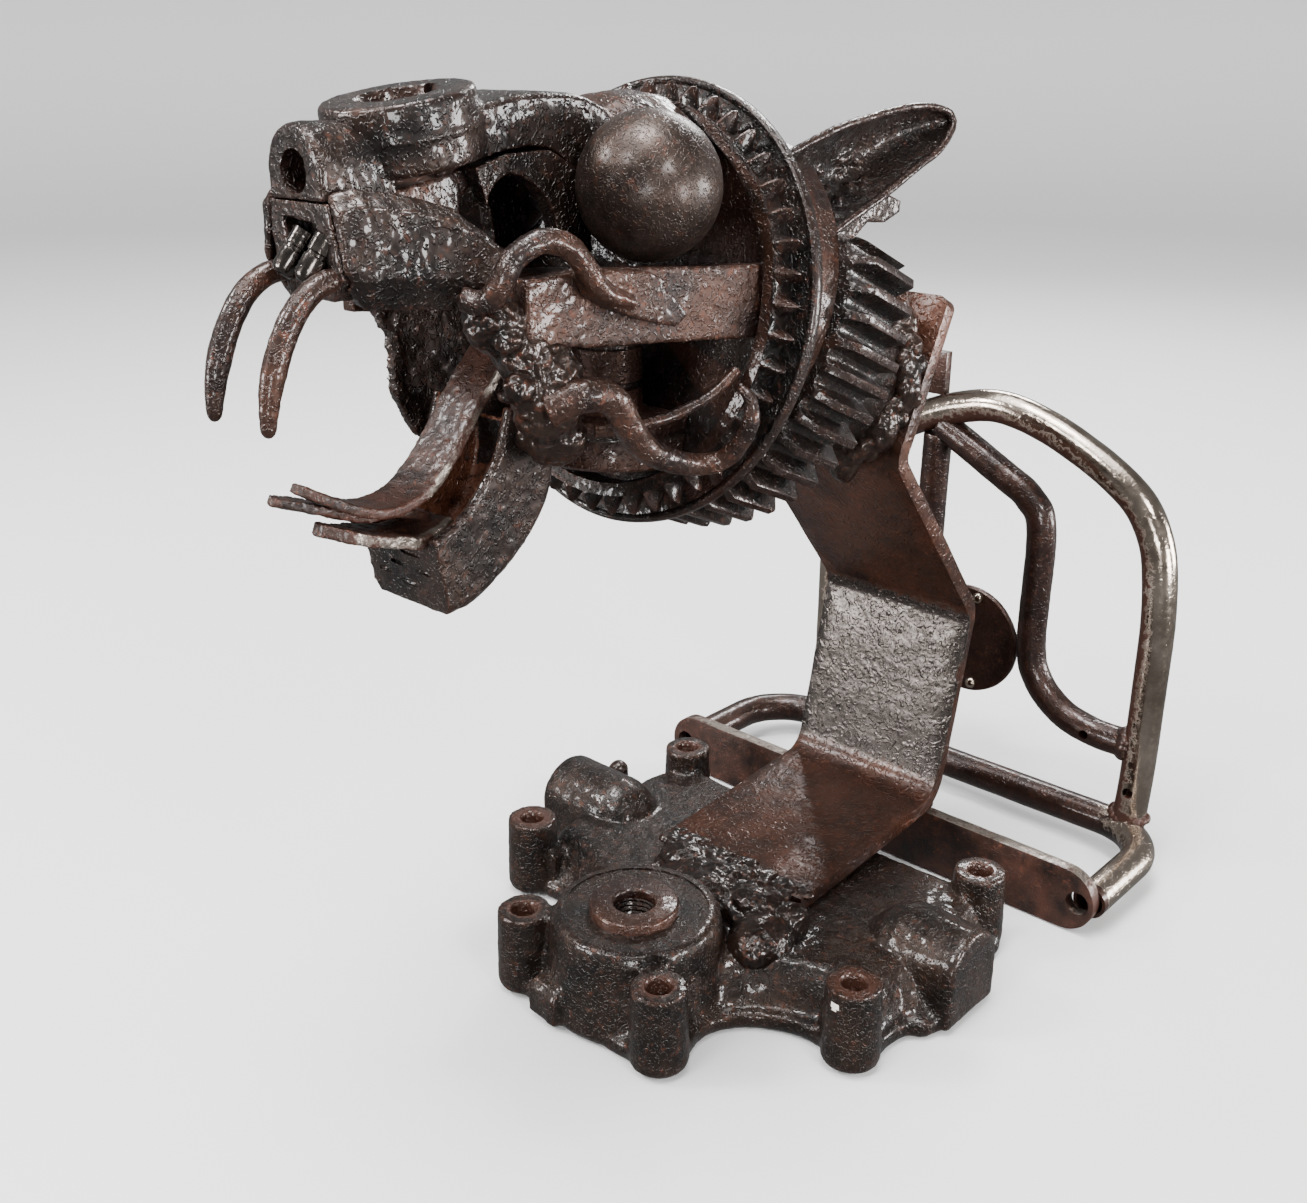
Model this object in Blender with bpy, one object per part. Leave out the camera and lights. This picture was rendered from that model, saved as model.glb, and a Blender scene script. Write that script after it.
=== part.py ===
"""Wolf head sculpture welded from scrap machine parts, standing on a cast cover.

Metres, +Z up. X is the width with the mirror plane at X = 0, the muzzle looks to -Y and
the tube rack stands behind at +Y. Each piece of scrap is one closed solid of its own, and
touching pieces keep WELD_GAP between them. Lengths below are written in millimetres times MM.
"""
from math import cos, pi, radians, sin, tan

import bmesh
import bpy
from mathutils import Matrix, Vector

MM = 0.001
WELD_GAP = 0.3 * MM          # clearance between pieces that the real welds join
BED_SHIFT = Vector((0.5 * MM, -23.15 * MM, 0.0))   # puts the origin in the footprint's middle

# Cast cover that makes the base
FLANGE_T = 7.0 * MM
TOE = 2.8 * MM               # how far the flange is undercut where it meets the ground
BOSS_TOE = 4.3 * MM
DECK_Z = 22.0 * MM           # top of the deck
POCKET_DEPTH = 12.0 * MM     # hollow underside
BOSS_TOP_R = 9.0 * MM
BOSS_FOOT_R = 9.7 * MM
BOSS_Z = 30.5 * MM
BOSS_HOLE_R = 4.2 * MM
BOSS_HOLE_DEPTH = 14.0 * MM
BOSSES = ((74.0 * MM, 6.0 * MM), (31.0 * MM, -37.0 * MM), (69.2 * MM, 89.0 * MM))
HUB_Y = -14.5 * MM           # centre of the raised round boss
HUB_TOP_R = 26.5 * MM
HUB_FOOT_R = 33.0 * MM
HUB_Z = 34.0 * MM
SPOT_R = 11.5 * MM           # spot faces cut round the front bosses
HUMP_R = 14.5 * MM
HUMP_AXIS_Z = 18.5 * MM
HUMPS = ((1, 91.0 * MM, 50.5 * MM), (-1, 96.5 * MM, 46.0 * MM))   # side, outer end, centre Y
HUMP_INNER_X = 64.0 * MM

# Washer on the raised boss
WASHER_R = 15.0 * MM
WASHER_T = 2.8 * MM
THREAD_R = 6.9 * MM
THREAD_DEPTH = 18.0 * MM

# Neck strap, a flat bar bent four times
STRAP_W = 64.0 * MM
STRAP_T = 5.5 * MM
STRAP_BEND_R = 9.0 * MM
STRAP_CORNER_R = 4.0 * MM
STRIP_Y = 118.0 * MM         # front face of the flat strip that the heel of the bar meets
HEEL_SET = 2.5 * MM          # how far the front of the heel stands before the strip
STRAP_FRONT = ((34.0 * MM, 27.9 * MM), (STRIP_Y - HEEL_SET, 34.8 * MM), (131.3 * MM, 105.0 * MM),
               (75.5 * MM, 173.5 * MM), (101.0 * MM, 225.5 * MM))   # front face, (y, z)

# Rack: flat strip, ground loop, outer arch, inner tubes, round plate
STRIP_RIGHT = 99.5 * MM
STRIP_LEFT = 103.0 * MM
STRIP_H = 24.5 * MM
STRIP_T = 5.0 * MM
STRIP_Z = 0.8 * MM           # lower edge
STRIP_HOLE_R = 4.6 * MM
STRIP_HOLES = (91.5 * MM, -96.0 * MM)
TUBE_R = 6.35 * MM
TUBE_BORE_R = 5.0 * MM
TUBE_BORE_DEPTH = 12.0 * MM
TUBE_SIDES = 10
LOOP_Z = 12.4 * MM
LOOP_X = 95.5 * MM
RACK_Y = 182.0 * MM          # the plane in which the arch stands
RACK_X = 8.8 * MM            # middle of the arch, set over to the left side
INNER_R = 5.8 * MM
PLATE_X = 3.8 * MM
PLATE_R = 23.0 * MM
PLATE_T = 2.5 * MM
PLATE_Z = 72.0 * MM
RIVET_R = 2.4 * MM

# Toothed wheels behind the face
COLLAR_C = Vector((0.0, -14.0 * MM, 233.7 * MM))      # centre of the flange's front face
COLLAR_PITCH = radians(13.3)
COLLAR_R = 61.8 * MM
COLLAR_T = 4.0 * MM
DOG_TEETH = 45
DOG_TIP_R = 59.3 * MM
DOG_ROOT_R = 54.5 * MM
DOG_BAND_T = 8.0 * MM
COLLAR_BORE_R = 50.0 * MM
WEB_T = 3.0 * MM
GEAR_REAR_C = Vector((0.0, 29.5 * MM, 221.15 * MM))   # centre of the gear's rear face
GEAR_PITCH = radians(24.0)
GEAR_TEETH = 48
GEAR_TIP_R = 62.2 * MM
GEAR_ROOT_R = 56.6 * MM
GEAR_W = 25.4 * MM
GEAR_CUT = 24.5 * MM         # height above the axis where the wheel's top was cut away
CONE_BIG_R = 51.0 * MM
CONE_SMALL_R = 27.0 * MM

# Head
EYE_R = 18.3 * MM
EYE_C = Vector((30.0 * MM, -40.0 * MM, 268.7 * MM))
FANG_R = 2.1 * MM
FANG_X = 11.0 * MM
RING_C = Vector((0.0, -92.5 * MM, 290.8 * MM))        # top face of the snout arm's eye
RING_R = 18.4 * MM
RING_HOLE_R = 9.3 * MM
RING_TILT = radians(10.0)
RING_H = 16.0 * MM
NOSE_Y = -121.7 * MM
NOSE_Z = 275.2 * MM
NOSE_R = 10.3 * MM
NOSE_HOLE_R = 4.7 * MM
NOSE_DEPTH = 13.0 * MM
BRIDGE_HALF = 9.5 * MM         # half the width of the block under the arm
ARCH_T = 4.7 * MM
HOOK_R = 2.9 * MM
EAR_T = 2.0 * MM

COLOURS = {
    # slot: (linear colour, roughness, metallic)
    "cast_cover": ((0.030, 0.022, 0.018), 0.32, 0.9),
    "rusted_bar": ((0.075, 0.034, 0.021), 0.38, 0.9),
    "worn_nickel": ((0.420, 0.400, 0.360), 0.25, 1.0),
    "brown_tube": ((0.060, 0.026, 0.018), 0.36, 0.9),
    "dark_gear": ((0.036, 0.025, 0.021), 0.30, 0.9),
    "brown_steel": ((0.070, 0.038, 0.027), 0.32, 0.9),
    "bronze_ball": ((0.095, 0.066, 0.052), 0.34, 0.95),
    "weld_bead": ((0.045, 0.028, 0.022), 0.28, 0.9),
}


def clear_scene():
    """Empty the file that the script runs in."""
    for obj in list(bpy.data.objects):
        bpy.data.objects.remove(obj, do_unlink=True)


def material(slot):
    """The Principled material of one slot, made on first use."""
    if slot in bpy.data.materials:
        return bpy.data.materials[slot]
    colour, roughness, metallic = COLOURS[slot]
    mat = bpy.data.materials.new(slot)
    mat.use_nodes = True
    shader = mat.node_tree.nodes["Principled BSDF"]
    shader.inputs["Base Color"].default_value = (*colour, 1.0)
    shader.inputs["Roughness"].default_value = roughness
    shader.inputs["Metallic"].default_value = metallic
    return mat


def mesh_object(name, bm, slot, smooth=False, collection=None):
    """Turn a bmesh into a linked object with its material."""
    bmesh.ops.recalc_face_normals(bm, faces=bm.faces)
    mesh = bpy.data.meshes.new(name)
    bm.to_mesh(mesh)
    bm.free()
    mesh.materials.append(material(slot))
    for poly in mesh.polygons:
        poly.use_smooth = smooth
    obj = bpy.data.objects.new(name, mesh)
    (collection or bpy.context.scene.collection).objects.link(obj)
    return obj


def loft(rings, closed_loop=False):
    """A closed solid through rings of points, all with the same count."""
    bm = bmesh.new()
    rows = [[bm.verts.new(p) for p in ring] for ring in rings]
    count = len(rows[0])
    pairs = list(zip(rows, rows[1:]))
    if closed_loop:
        pairs.append((rows[-1], rows[0]))
    for low, high in pairs:
        for i in range(count):
            j = (i + 1) % count
            bm.faces.new((low[i], low[j], high[j], high[i]))
    if not closed_loop:
        bm.faces.new(rows[0][::-1])
        bm.faces.new(rows[-1])
    return bm


def prism(outline, place_low, place_high):
    """A flat outline carried from one level to another by two placing functions."""
    return loft([[place_low(p) for p in outline], [place_high(p) for p in outline]])


def side_plate(outline, x_low, x_high):
    """A (y, z) outline extruded between two X values."""
    return prism(outline, lambda p: (x_low, p[0], p[1]), lambda p: (x_high, p[0], p[1]))


def frames(points):
    """Directions along a path with two steady normals for each point."""
    points = [Vector(p) for p in points]
    tangents = []
    for i, p in enumerate(points):
        before = points[max(i - 1, 0)]
        after = points[min(i + 1, len(points) - 1)]
        tangents.append((after - before).normalized())
    side = tangents[0].orthogonal().normalized()
    result = []
    for p, t in zip(points, tangents):
        side = (side - t * side.dot(t)).normalized()
        result.append((p, t, side, t.cross(side)))
    return result


def rod(points, radii, sides=10):
    """A round bar along a path; radii holds one value or one for each point."""
    if not hasattr(radii, "__len__"):
        radii = [radii] * len(points)
    rings = []
    for (p, _, u, v), r in zip(frames(points), radii):
        rings.append([p + (u * cos(2 * pi * k / sides) + v * sin(2 * pi * k / sides)) * r
                      for k in range(sides)])
    return loft(rings)


def smooth_path(points, steps=3):
    """A soft curve through hand-set points (Catmull-Rom)."""
    pts = [Vector(p) for p in points]
    pts = [2 * pts[0] - pts[1]] + pts + [2 * pts[-1] - pts[-2]]
    out = []
    for a, b, c, d in zip(pts, pts[1:], pts[2:], pts[3:]):
        for k in range(steps):
            t = k / steps
            out.append(0.5 * (2 * b + (c - a) * t + (2 * a - 5 * b + 4 * c - d) * t * t
                              + (3 * b - a - 3 * c + d) * t ** 3))
    out.append(pts[-2])
    return out


def rounded(corners, radius, steps=4):
    """A polyline whose inner corners are replaced by arcs of one radius."""
    pts = [Vector(p) for p in corners]
    out = [pts[0]]
    for a, b, c in zip(pts, pts[1:], pts[2:]):
        u, v = (a - b).normalized(), (c - b).normalized()
        half = u.angle(v) / 2
        reach = min(radius / tan(half), 0.45 * min((a - b).length, (c - b).length))
        r = reach * tan(half)
        centre = b + (u + v).normalized() * (r / sin(half))
        start, end = b + u * reach - centre, b + v * reach - centre
        turn = start.angle(end)
        for k in range(steps + 1):
            t = k / steps
            out.append(centre + (start * sin((1 - t) * turn) + end * sin(t * turn)) / sin(turn))
    out.append(pts[-1])
    return out


def lathe(profile, segments, frame=Matrix()):
    """A closed (radius, height) profile turned round the local Z axis; radius 0 makes a pole."""
    bm = bmesh.new()
    rows = []
    for k in range(segments):
        a = 2 * pi * k / segments
        rows.append([frame @ Vector((r * cos(a), r * sin(a), z)) for r, z in profile])
    poles = {i: bm.verts.new(rows[0][i]) for i, (r, _) in enumerate(profile) if r == 0}
    grid = [[poles[i] if i in poles else bm.verts.new(p) for i, p in enumerate(row)]
            for row in rows]
    count = len(profile)
    for a, b in zip(grid, grid[1:] + grid[:1]):
        for i in range(count):
            j = (i + 1) % count
            corners = []
            for vert in (a[i], b[i], b[j], a[j]):
                if vert not in corners:
                    corners.append(vert)
            if len(corners) > 2:
                bm.faces.new(corners)
    return bm


def axis_frame(centre, pitch):
    """Local frame whose +Z looks to the muzzle, tipped up by pitch; local +Y points up."""
    forward = Vector((0, -cos(pitch), sin(pitch)))
    up = Vector((0, sin(pitch), cos(pitch)))
    side = up.cross(forward)
    rot = Matrix((side, up, forward)).transposed().to_4x4()
    return Matrix.Translation(centre) @ rot


def cutter_collection():
    """The hidden collection that holds everything used only to cut."""
    name = "Cutters"
    if name not in bpy.data.collections:
        bpy.context.scene.collection.children.link(bpy.data.collections.new(name))
    return bpy.data.collections[name]


def as_cutter(obj):
    """Hide an object that only cuts or adds."""
    for owner in list(obj.users_collection):
        owner.objects.unlink(obj)
    cutter_collection().objects.link(obj)
    obj.hide_render = True
    obj.display_type = "WIRE"
    return obj


def boolean(obj, other, operation, solver="EXACT"):
    """Add one Boolean with a hidden partner."""
    mod = obj.modifiers.new(operation.title(), "BOOLEAN")
    mod.operation = operation
    mod.solver = solver
    mod.object = as_cutter(other)
    return mod


def bake(obj):
    """Replace an object's mesh by what its modifiers give."""
    graph = bpy.context.evaluated_depsgraph_get()
    mesh = bpy.data.meshes.new_from_object(obj.evaluated_get(graph))
    obj.modifiers.clear()
    obj.data = mesh
    return obj


def grown(obj, gap=WELD_GAP):
    """A cutter that is a piece's own shape moved outward by the weld gap."""
    graph = bpy.context.evaluated_depsgraph_get()
    mesh = bpy.data.meshes.new_from_object(obj.evaluated_get(graph))
    bm = bmesh.new()
    bm.from_mesh(mesh)
    bmesh.ops.remove_doubles(bm, verts=bm.verts, dist=1e-6)
    bm.normal_update()
    moves = [(v, v.normal * gap * min(v.calc_shell_factor(), 1.6)) for v in bm.verts]
    for vert, move in moves:
        vert.co += move
    bm.to_mesh(mesh)
    bm.free()
    other = bpy.data.objects.new(obj.name + ".clear", mesh)
    bpy.context.scene.collection.objects.link(other)
    return other


def largest_body(obj):
    """Keep only the largest body of a piece that its neighbours cut apart."""
    bm = bmesh.new()
    bm.from_mesh(obj.data)
    left = set(bm.verts)
    bodies = []
    while left:
        body, edge = set(), [left.pop()]
        while edge:
            vert = edge.pop()
            body.add(vert)
            for link in vert.link_edges:
                other = link.other_vert(vert)
                if other in left:
                    left.discard(other)
                    edge.append(other)
        faces = {face for vert in body for face in vert.link_faces}
        bodies.append((sum(face.calc_area() for face in faces), body))
    bodies.sort(key=lambda pair: pair[0])
    for _, body in bodies[:-1]:
        bmesh.ops.delete(bm, geom=list(body), context="VERTS")
    bm.to_mesh(obj.data)
    bm.free()
    return obj


def trim(obj, neighbours, solver="EXACT"):
    """Cut a piece back so that it clears its neighbours by the weld gap."""
    for other in neighbours:
        boolean(obj, grown(other), "DIFFERENCE", solver)
    return largest_body(bake(obj))


def cylinder(radius, low, high, centre=(0, 0), segments=24):
    """An upright cylinder between two heights."""
    frame = Matrix.Translation((centre[0], centre[1], 0))
    return lathe([(0, low), (radius, low), (radius, high), (0, high)], segments, frame)


def lump(centre, size, slot, name, subdivisions=2):
    """A round lump of weld metal."""
    bm = bmesh.new()
    bmesh.ops.create_icosphere(bm, subdivisions=subdivisions, radius=1.0)
    for v in bm.verts:
        v.co = Vector((v.co.x * size[0], v.co.y * size[1], v.co.z * size[2])) + Vector(centre)
    return mesh_object(name, bm, slot, True)


def weld(name, lumps, neighbours, slot="weld_bead"):
    """Weld metal: a first lump with others joined, cleared of the pieces that it joins."""
    first, *rest = lumps
    obj = lump(first[0], first[1], slot, name, 1)
    for k, (centre, size) in enumerate(rest):
        boolean(obj, lump(centre, size, slot, f"{name}.lump{k}", 1), "UNION")
    return trim(bake(obj), neighbours)


def mirrored(obj, name):
    """The same piece on the other side of the mirror plane."""
    bm = bmesh.new()
    bm.from_mesh(obj.data)
    for v in bm.verts:
        v.co.x = -v.co.x
    bmesh.ops.reverse_faces(bm, faces=bm.faces)
    return mesh_object(name, bm, obj.data.materials[0].name, obj.data.polygons[0].use_smooth)


def inset(outline, distance):
    """An outline moved inward, corner by corner."""
    pts = [Vector((x, y)) for x, y in outline]
    out = []
    for i, p in enumerate(pts):
        a = (p - pts[i - 1]).normalized()
        b = (pts[(i + 1) % len(pts)] - p).normalized()
        na, nb = Vector((-a.y, a.x)), Vector((-b.y, b.x))
        n = (na + nb).normalized()
        out.append(tuple(p + n * distance / max(n.dot(na), 0.6)))
    return out


def both_sides(half):
    """A whole outline, counter-clockwise, from its half with X above zero (in mm)."""
    right = [(x * MM, y * MM) for x, y in half]
    return right + [(-x, y) for x, y in reversed(right)]


# Scalloped flange and the deck's edge above it, point for point, in mm
FLANGE_HALF = ((22, -44), (31, -41), (37, -32), (34.5, -22), (35.5, -13), (41, -5.5), (48, -0.5),
               (57, 3), (68, 3), (80, 9), (80.5, 18), (82, 27), (88, 34), (88, 66), (82, 72),
               (80, 80), (79.5, 89), (70, 97.5), (57, 97), (40, 94))
DECK_HALF = ((18, -34), (26, -33), (28, -27), (26, -18), (27, -8), (32, 2), (42, 9.5), (54, 15),
             (63, 17), (71, 20), (72, 25), (73, 32), (74, 38), (74, 62), (74, 70), (72, 79),
             (68, 86), (61, 88), (52, 88), (38, 87))
POCKET_HALF = ((15, -34), (19, -12), (26, 6), (34, 18), (60, 24), (64, 40), (64, 74), (54, 82))


def base_casting():
    """The cast cover: flange, sloping wall, deck, bosses, humps and hollow underside."""
    rim, deck = both_sides(FLANGE_HALF), both_sides(DECK_HALF)
    rings = []
    for z, share in ((0.0, None), (0.45 * FLANGE_T, 0.0), (FLANGE_T, 0.3),
                     (DECK_Z - 2.0 * MM, 0.9), (DECK_Z, 1.1)):
        if share is None:
            rings.append([(x, y, z) for x, y in inset(rim, TOE)])
        else:
            rings.append([(a + (c - a) * share, b + (d - b) * share, z)
                          for (a, b), (c, d) in zip(rim, deck)])
    body = mesh_object("base_casting", loft(rings), "cast_cover")
    hub = [(0, 1 * MM), (HUB_FOOT_R - 2 * MM, 1 * MM), (HUB_FOOT_R, 4 * MM),
           (HUB_FOOT_R - 1.5 * MM, 14 * MM), (HUB_TOP_R + 1.8 * MM, HUB_Z - 2.5 * MM),
           (HUB_TOP_R, HUB_Z), (0, HUB_Z)]
    parts = [lathe(hub, 22, Matrix.Translation((0, HUB_Y, 0)))]
    for side, end, centre in HUMPS:
        arc = [(centre + HUMP_R, 2 * MM)]
        arc += [(centre + HUMP_R * cos(pi * k / 7), HUMP_AXIS_Z + HUMP_R * sin(pi * k / 7))
                for k in range(8)]
        arc += [(centre - HUMP_R, 2 * MM)]
        sections = []
        for x, shrink in ((end, 0.95), (end - 1.2 * MM, 1.0), (HUMP_INNER_X, 1.0),
                          (HUMP_INNER_X - 7 * MM, 0.88), (HUMP_INNER_X - 12 * MM, 0.6)):
            sections.append([(side * x, centre + (y - centre) * shrink, z * shrink)
                             for y, z in arc])
        parts.append(loft(sections))
        for x, y in BOSSES:
            frame = Matrix.Translation((side * x, y, 0))
            parts.append(lathe([(0, 0), (BOSS_FOOT_R - BOSS_TOE, 0), (BOSS_FOOT_R, 3.5 * MM),
                                (BOSS_TOP_R, BOSS_Z), (0, BOSS_Z)], 11, frame))
    low = [(x * MM, y * MM) for x, y in ((-18, -48), (-4, -49.5), (-4, -43), (-18, -43))]
    parts.append(loft([[(x, y, 2 * MM) for x, y in low], [(x, y, 12 * MM) for x, y in low],
                       [(x, y, 14 * MM) for x, y in inset(low, 1.6 * MM)]]))
    pin = Matrix.Translation((-89 * MM, 68 * MM, 0))
    parts.append(lathe([(0, 4 * MM), (4.2 * MM, 4 * MM), (4.2 * MM, DECK_Z - 1 * MM),
                        (2.6 * MM, DECK_Z + 1.6 * MM), (0, DECK_Z + 2.4 * MM)], 10, pin))
    # EXACT leaves open edges where so many curved walls run together, MANIFOLD does not
    for k, bm in enumerate(parts):
        boolean(body, mesh_object(f"cover.add{k}", bm, "cast_cover"), "UNION", "MANIFOLD")
    cuts = [cylinder(THREAD_R, HUB_Z - THREAD_DEPTH, HUB_Z + 5 * MM, (0, HUB_Y - 1.1 * MM), 16)]
    for side in (1, -1):
        for x, y in BOSSES:
            cuts.append(cylinder(BOSS_HOLE_R, BOSS_Z - BOSS_HOLE_DEPTH, BOSS_Z + 5 * MM,
                                 (side * x, y), 8))
        x, y = BOSSES[1]
        cuts.append(cylinder(SPOT_R, BOSS_Z + 0.01 * MM, HUB_Z + 5 * MM, (side * x, y), 16))
    pocket = both_sides(POCKET_HALF)
    cuts.append(loft([[(x, y, -1 * MM) for x, y in pocket],
                      [(x, y, POCKET_DEPTH) for x, y in pocket]]))
    for k, bm in enumerate(cuts):
        boolean(body, mesh_object(f"cover.cut{k}", bm, "cast_cover"), "DIFFERENCE", "MANIFOLD")
    return bake(body)


def washer():
    """The flat washer with a chamfered edge round the threaded hole."""
    low = HUB_Z + WELD_GAP
    profile = [(THREAD_R, low), (WASHER_R, low), (WASHER_R, low + WASHER_T - 0.6 * MM),
               (WASHER_R - 0.7 * MM, low + WASHER_T), (THREAD_R, low + WASHER_T)]
    frame = Matrix.Translation((0, HUB_Y - 1.1 * MM, 0))
    return mesh_object("base_washer", lathe(profile, 18, frame), "cast_cover")


def offset_line(points, distance):
    """A (y, z) polyline moved to its right by a distance."""
    out = []
    for i, p in enumerate(points):
        p = Vector(p)
        dirs = []
        if i > 0:
            dirs.append((p - Vector(points[i - 1])).normalized())
        if i < len(points) - 1:
            dirs.append((Vector(points[i + 1]) - p).normalized())
        normals = [Vector((d.y, -d.x)) for d in dirs]
        n = sum(normals, Vector((0, 0))).normalized()
        out.append(p + n * distance / n.dot(normals[0]))
    return out


def neck_strap():
    """The bent flat bar that carries the head, with two rounded upper corners."""
    front = [Vector((y, z, 0)) for y, z in STRAP_FRONT]
    line = [Vector((p.x, p.y)) for p in rounded(front, STRAP_BEND_R, 4)]
    back = offset_line(line, STRAP_T)
    outline = [tuple(p) for p in line] + [tuple(p) for p in reversed(back)]
    strap = mesh_object("neck_strap", side_plate(outline, -STRAP_W / 2, STRAP_W / 2),
                        "rusted_bar")
    end, before = Vector(STRAP_FRONT[-1]), Vector(STRAP_FRONT[-2])
    rise = (end - before).normalized()
    out = Vector((rise.y, -rise.x))
    for side in (1, -1):
        r, x = STRAP_CORNER_R, STRAP_W / 2
        flat = [(x + 2 * MM, 2 * MM), (x - r, 2 * MM)]
        flat += [(x - r + r * sin(a), -r + r * cos(a)) for a in [pi / 10 * k for k in range(6)]]
        flat += [(x + 2 * MM, -r)]

        def place(p, depth, side=side):
            q = end + rise * p[1] + out * depth
            return (side * p[0], q.x, q.y)

        corner = prism(flat, lambda p: place(p, -3 * MM), lambda p: place(p, STRAP_T + 3 * MM))
        boolean(strap, mesh_object(f"strap.corner{side}", corner, "rusted_bar"), "DIFFERENCE")
    return bake(strap)


def rack_strip():
    """The upright flat strip behind the cover, with rounded ends and a hole near each end."""
    r = STRIP_H / 2
    outline = []
    for cx, start in ((STRIP_RIGHT - r, -pi / 2), (r - STRIP_LEFT, pi / 2)):
        outline += [(cx + r * cos(start + pi * k / 7), STRIP_Z + r + r * sin(start + pi * k / 7))
                    for k in range(8)]
    strip = prism(outline, lambda p: (p[0], STRIP_Y, p[1]),
                  lambda p: (p[0], STRIP_Y + STRIP_T, p[1]))
    obj = mesh_object("rack_strip", strip, "rusted_bar")
    for k, x in enumerate(STRIP_HOLES):
        frame = Matrix.Translation((x, STRIP_Y, STRIP_Z + r)) @ Matrix.Rotation(-pi / 2, 4, "X")
        hole = lathe([(0, -5 * MM), (STRIP_HOLE_R, -5 * MM), (STRIP_HOLE_R, STRIP_T + 5 * MM),
                      (0, STRIP_T + 5 * MM)], 12, frame)
        boolean(obj, mesh_object(f"strip.hole{k}", hole, "rusted_bar"), "DIFFERENCE")
    return bake(obj)


def ground_loop():
    """The U-shaped tube on the ground, open ended behind the strip's holes."""
    y0 = STRIP_Y + STRIP_T + WELD_GAP
    path = rounded([(-LOOP_X, y0, LOOP_Z), (-LOOP_X, RACK_Y, LOOP_Z), (LOOP_X, RACK_Y, LOOP_Z),
                    (LOOP_X, y0, LOOP_Z)], 25 * MM, 5)
    obj = mesh_object("rack_ground_loop", rod(path, TUBE_R, TUBE_SIDES), "brown_tube", True)
    for side in (1, -1):
        frame = Matrix.Translation((side * LOOP_X, y0 - 1 * MM, LOOP_Z)) \
            @ Matrix.Rotation(-pi / 2, 4, "X")
        depth = TUBE_BORE_DEPTH + 1 * MM
        bore = lathe([(0, 0), (TUBE_BORE_R, 0), (TUBE_BORE_R, depth), (0, depth)], 10, frame)
        boolean(obj, mesh_object(f"loop.bore{side}", bore, "brown_tube"), "DIFFERENCE")
    return bake(obj)


def outer_arch():
    """The nickelled tube bent into an arch, standing on the loop's back bar."""
    foot = LOOP_Z / MM + 1.5
    right = [(73.2, foot), (74.2, 40), (74.0, 100), (72.0, 120), (68.6, 132.5), (62, 143.5),
             (51.5, 152), (37, 160), (19, 167.4)]
    left = [(-x, z) for x, z in reversed(right)]
    pts = [(RACK_X + x * MM, RACK_Y, z * MM) for x, z in right + [(0, 171.0)] + left]
    return mesh_object("rack_outer_arch", rod(pts, TUBE_R, TUBE_SIDES), "worn_nickel", True)


def inner_tube(name, line):
    """One inner tube of the rack along (x, z) points."""
    pts = smooth_path([(x * MM, RACK_Y, z * MM) for x, z in line], 2)
    return mesh_object(name, rod(pts, INNER_R, 8), "brown_tube", True)


def rack(strap):
    """The whole rack behind the neck."""
    strip = rack_strip()
    loop = ground_loop()
    arch = trim(outer_arch(), [loop])
    near = trim(inner_tube("rack_inner_tube_L", [
        (-16, 160), (12.6, 144.9), (25.6, 137.2), (32.1, 124.5), (32.6, 79), (37.4, 63),
        (49, 52.5), (64, 48.4), (80, 48.2)]), [arch])
    far = trim(inner_tube("rack_inner_tube_R", [
        (-17.5, 156), (-18, 120), (-18, 79), (-22, 63.5), (-33, 53.5), (-47, 48.8),
        (-64, 48.2)]), [arch, near])
    plate = lathe([(0, 0), (PLATE_R, 0), (PLATE_R, PLATE_T), (0, PLATE_T)], 26,
                  Matrix.Translation((PLATE_X, RACK_Y + 1.2 * MM, PLATE_Z))
                  @ Matrix.Rotation(pi / 2, 4, "X"))
    disc = trim(mesh_object("rack_round_plate", plate, "brown_tube"), [near, far])
    rivets = []
    for k, dz in enumerate((19.0 * MM, -19.0 * MM)):
        face = RACK_Y + 1.2 * MM - PLATE_T - WELD_GAP
        frame = Matrix.Translation((PLATE_X + 4 * MM, face, PLATE_Z + dz)) \
            @ Matrix.Rotation(pi / 2, 4, "X")
        head = lathe([(0, 0), (RIVET_R, 0), (RIVET_R * 0.7, 1.2 * MM), (0, 1.6 * MM)], 10, frame)
        rivets.append(mesh_object(f"rack_plate_rivet_{k + 1}", head, "worn_nickel", True))
    tab = side_plate([(RACK_Y - 2 * MM, 172 * MM), (RACK_Y + 2 * MM, 172 * MM),
                      (RACK_Y + 2 * MM, 189 * MM), (RACK_Y - 2 * MM, 189 * MM)],
                     -28 * MM, -15 * MM)
    trim(mesh_object("rack_top_tab", tab, "brown_tube"), [arch])
    weld_y = STRIP_Y + 2 * MM
    weld("rack_heel_weld", [((0, weld_y - 1 * MM, 27 * MM), (24 * MM, 5 * MM, 6 * MM)),
                            ((18 * MM, weld_y, 27 * MM), (14 * MM, 5 * MM, 6 * MM)),
                            ((-18 * MM, weld_y, 27 * MM), (14 * MM, 5 * MM, 6 * MM))],
         [strip, strap])
    return strip, loop, arch


def toothed_ring(teeth, levels, frame, profile):
    """Rings of a wheel whose tooth profile gives (angle share, radius) pairs for each level."""
    rings = []
    for z, tip, root in levels:
        ring = []
        for k in range(teeth):
            for share, depth in profile:
                a = 2 * pi * (k + share) / teeth
                r = root + (tip - root) * depth
                ring.append(frame @ Vector((r * cos(a), r * sin(a), z)))
        rings.append(ring)
    return rings


def crown_cutter(name, low, high):
    """The block that takes the cut-away crown off the gear and its cone."""
    frame = axis_frame(GEAR_REAR_C, GEAR_PITCH)
    square = [(-80, GEAR_CUT / MM), (80, GEAR_CUT / MM), (80, 80), (-80, 80)]
    bm = prism(square, lambda p: frame @ Vector((p[0] * MM, p[1] * MM, low)),
               lambda p: frame @ Vector((p[0] * MM, p[1] * MM, high)))
    return mesh_object(name, bm, "dark_gear")


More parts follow.
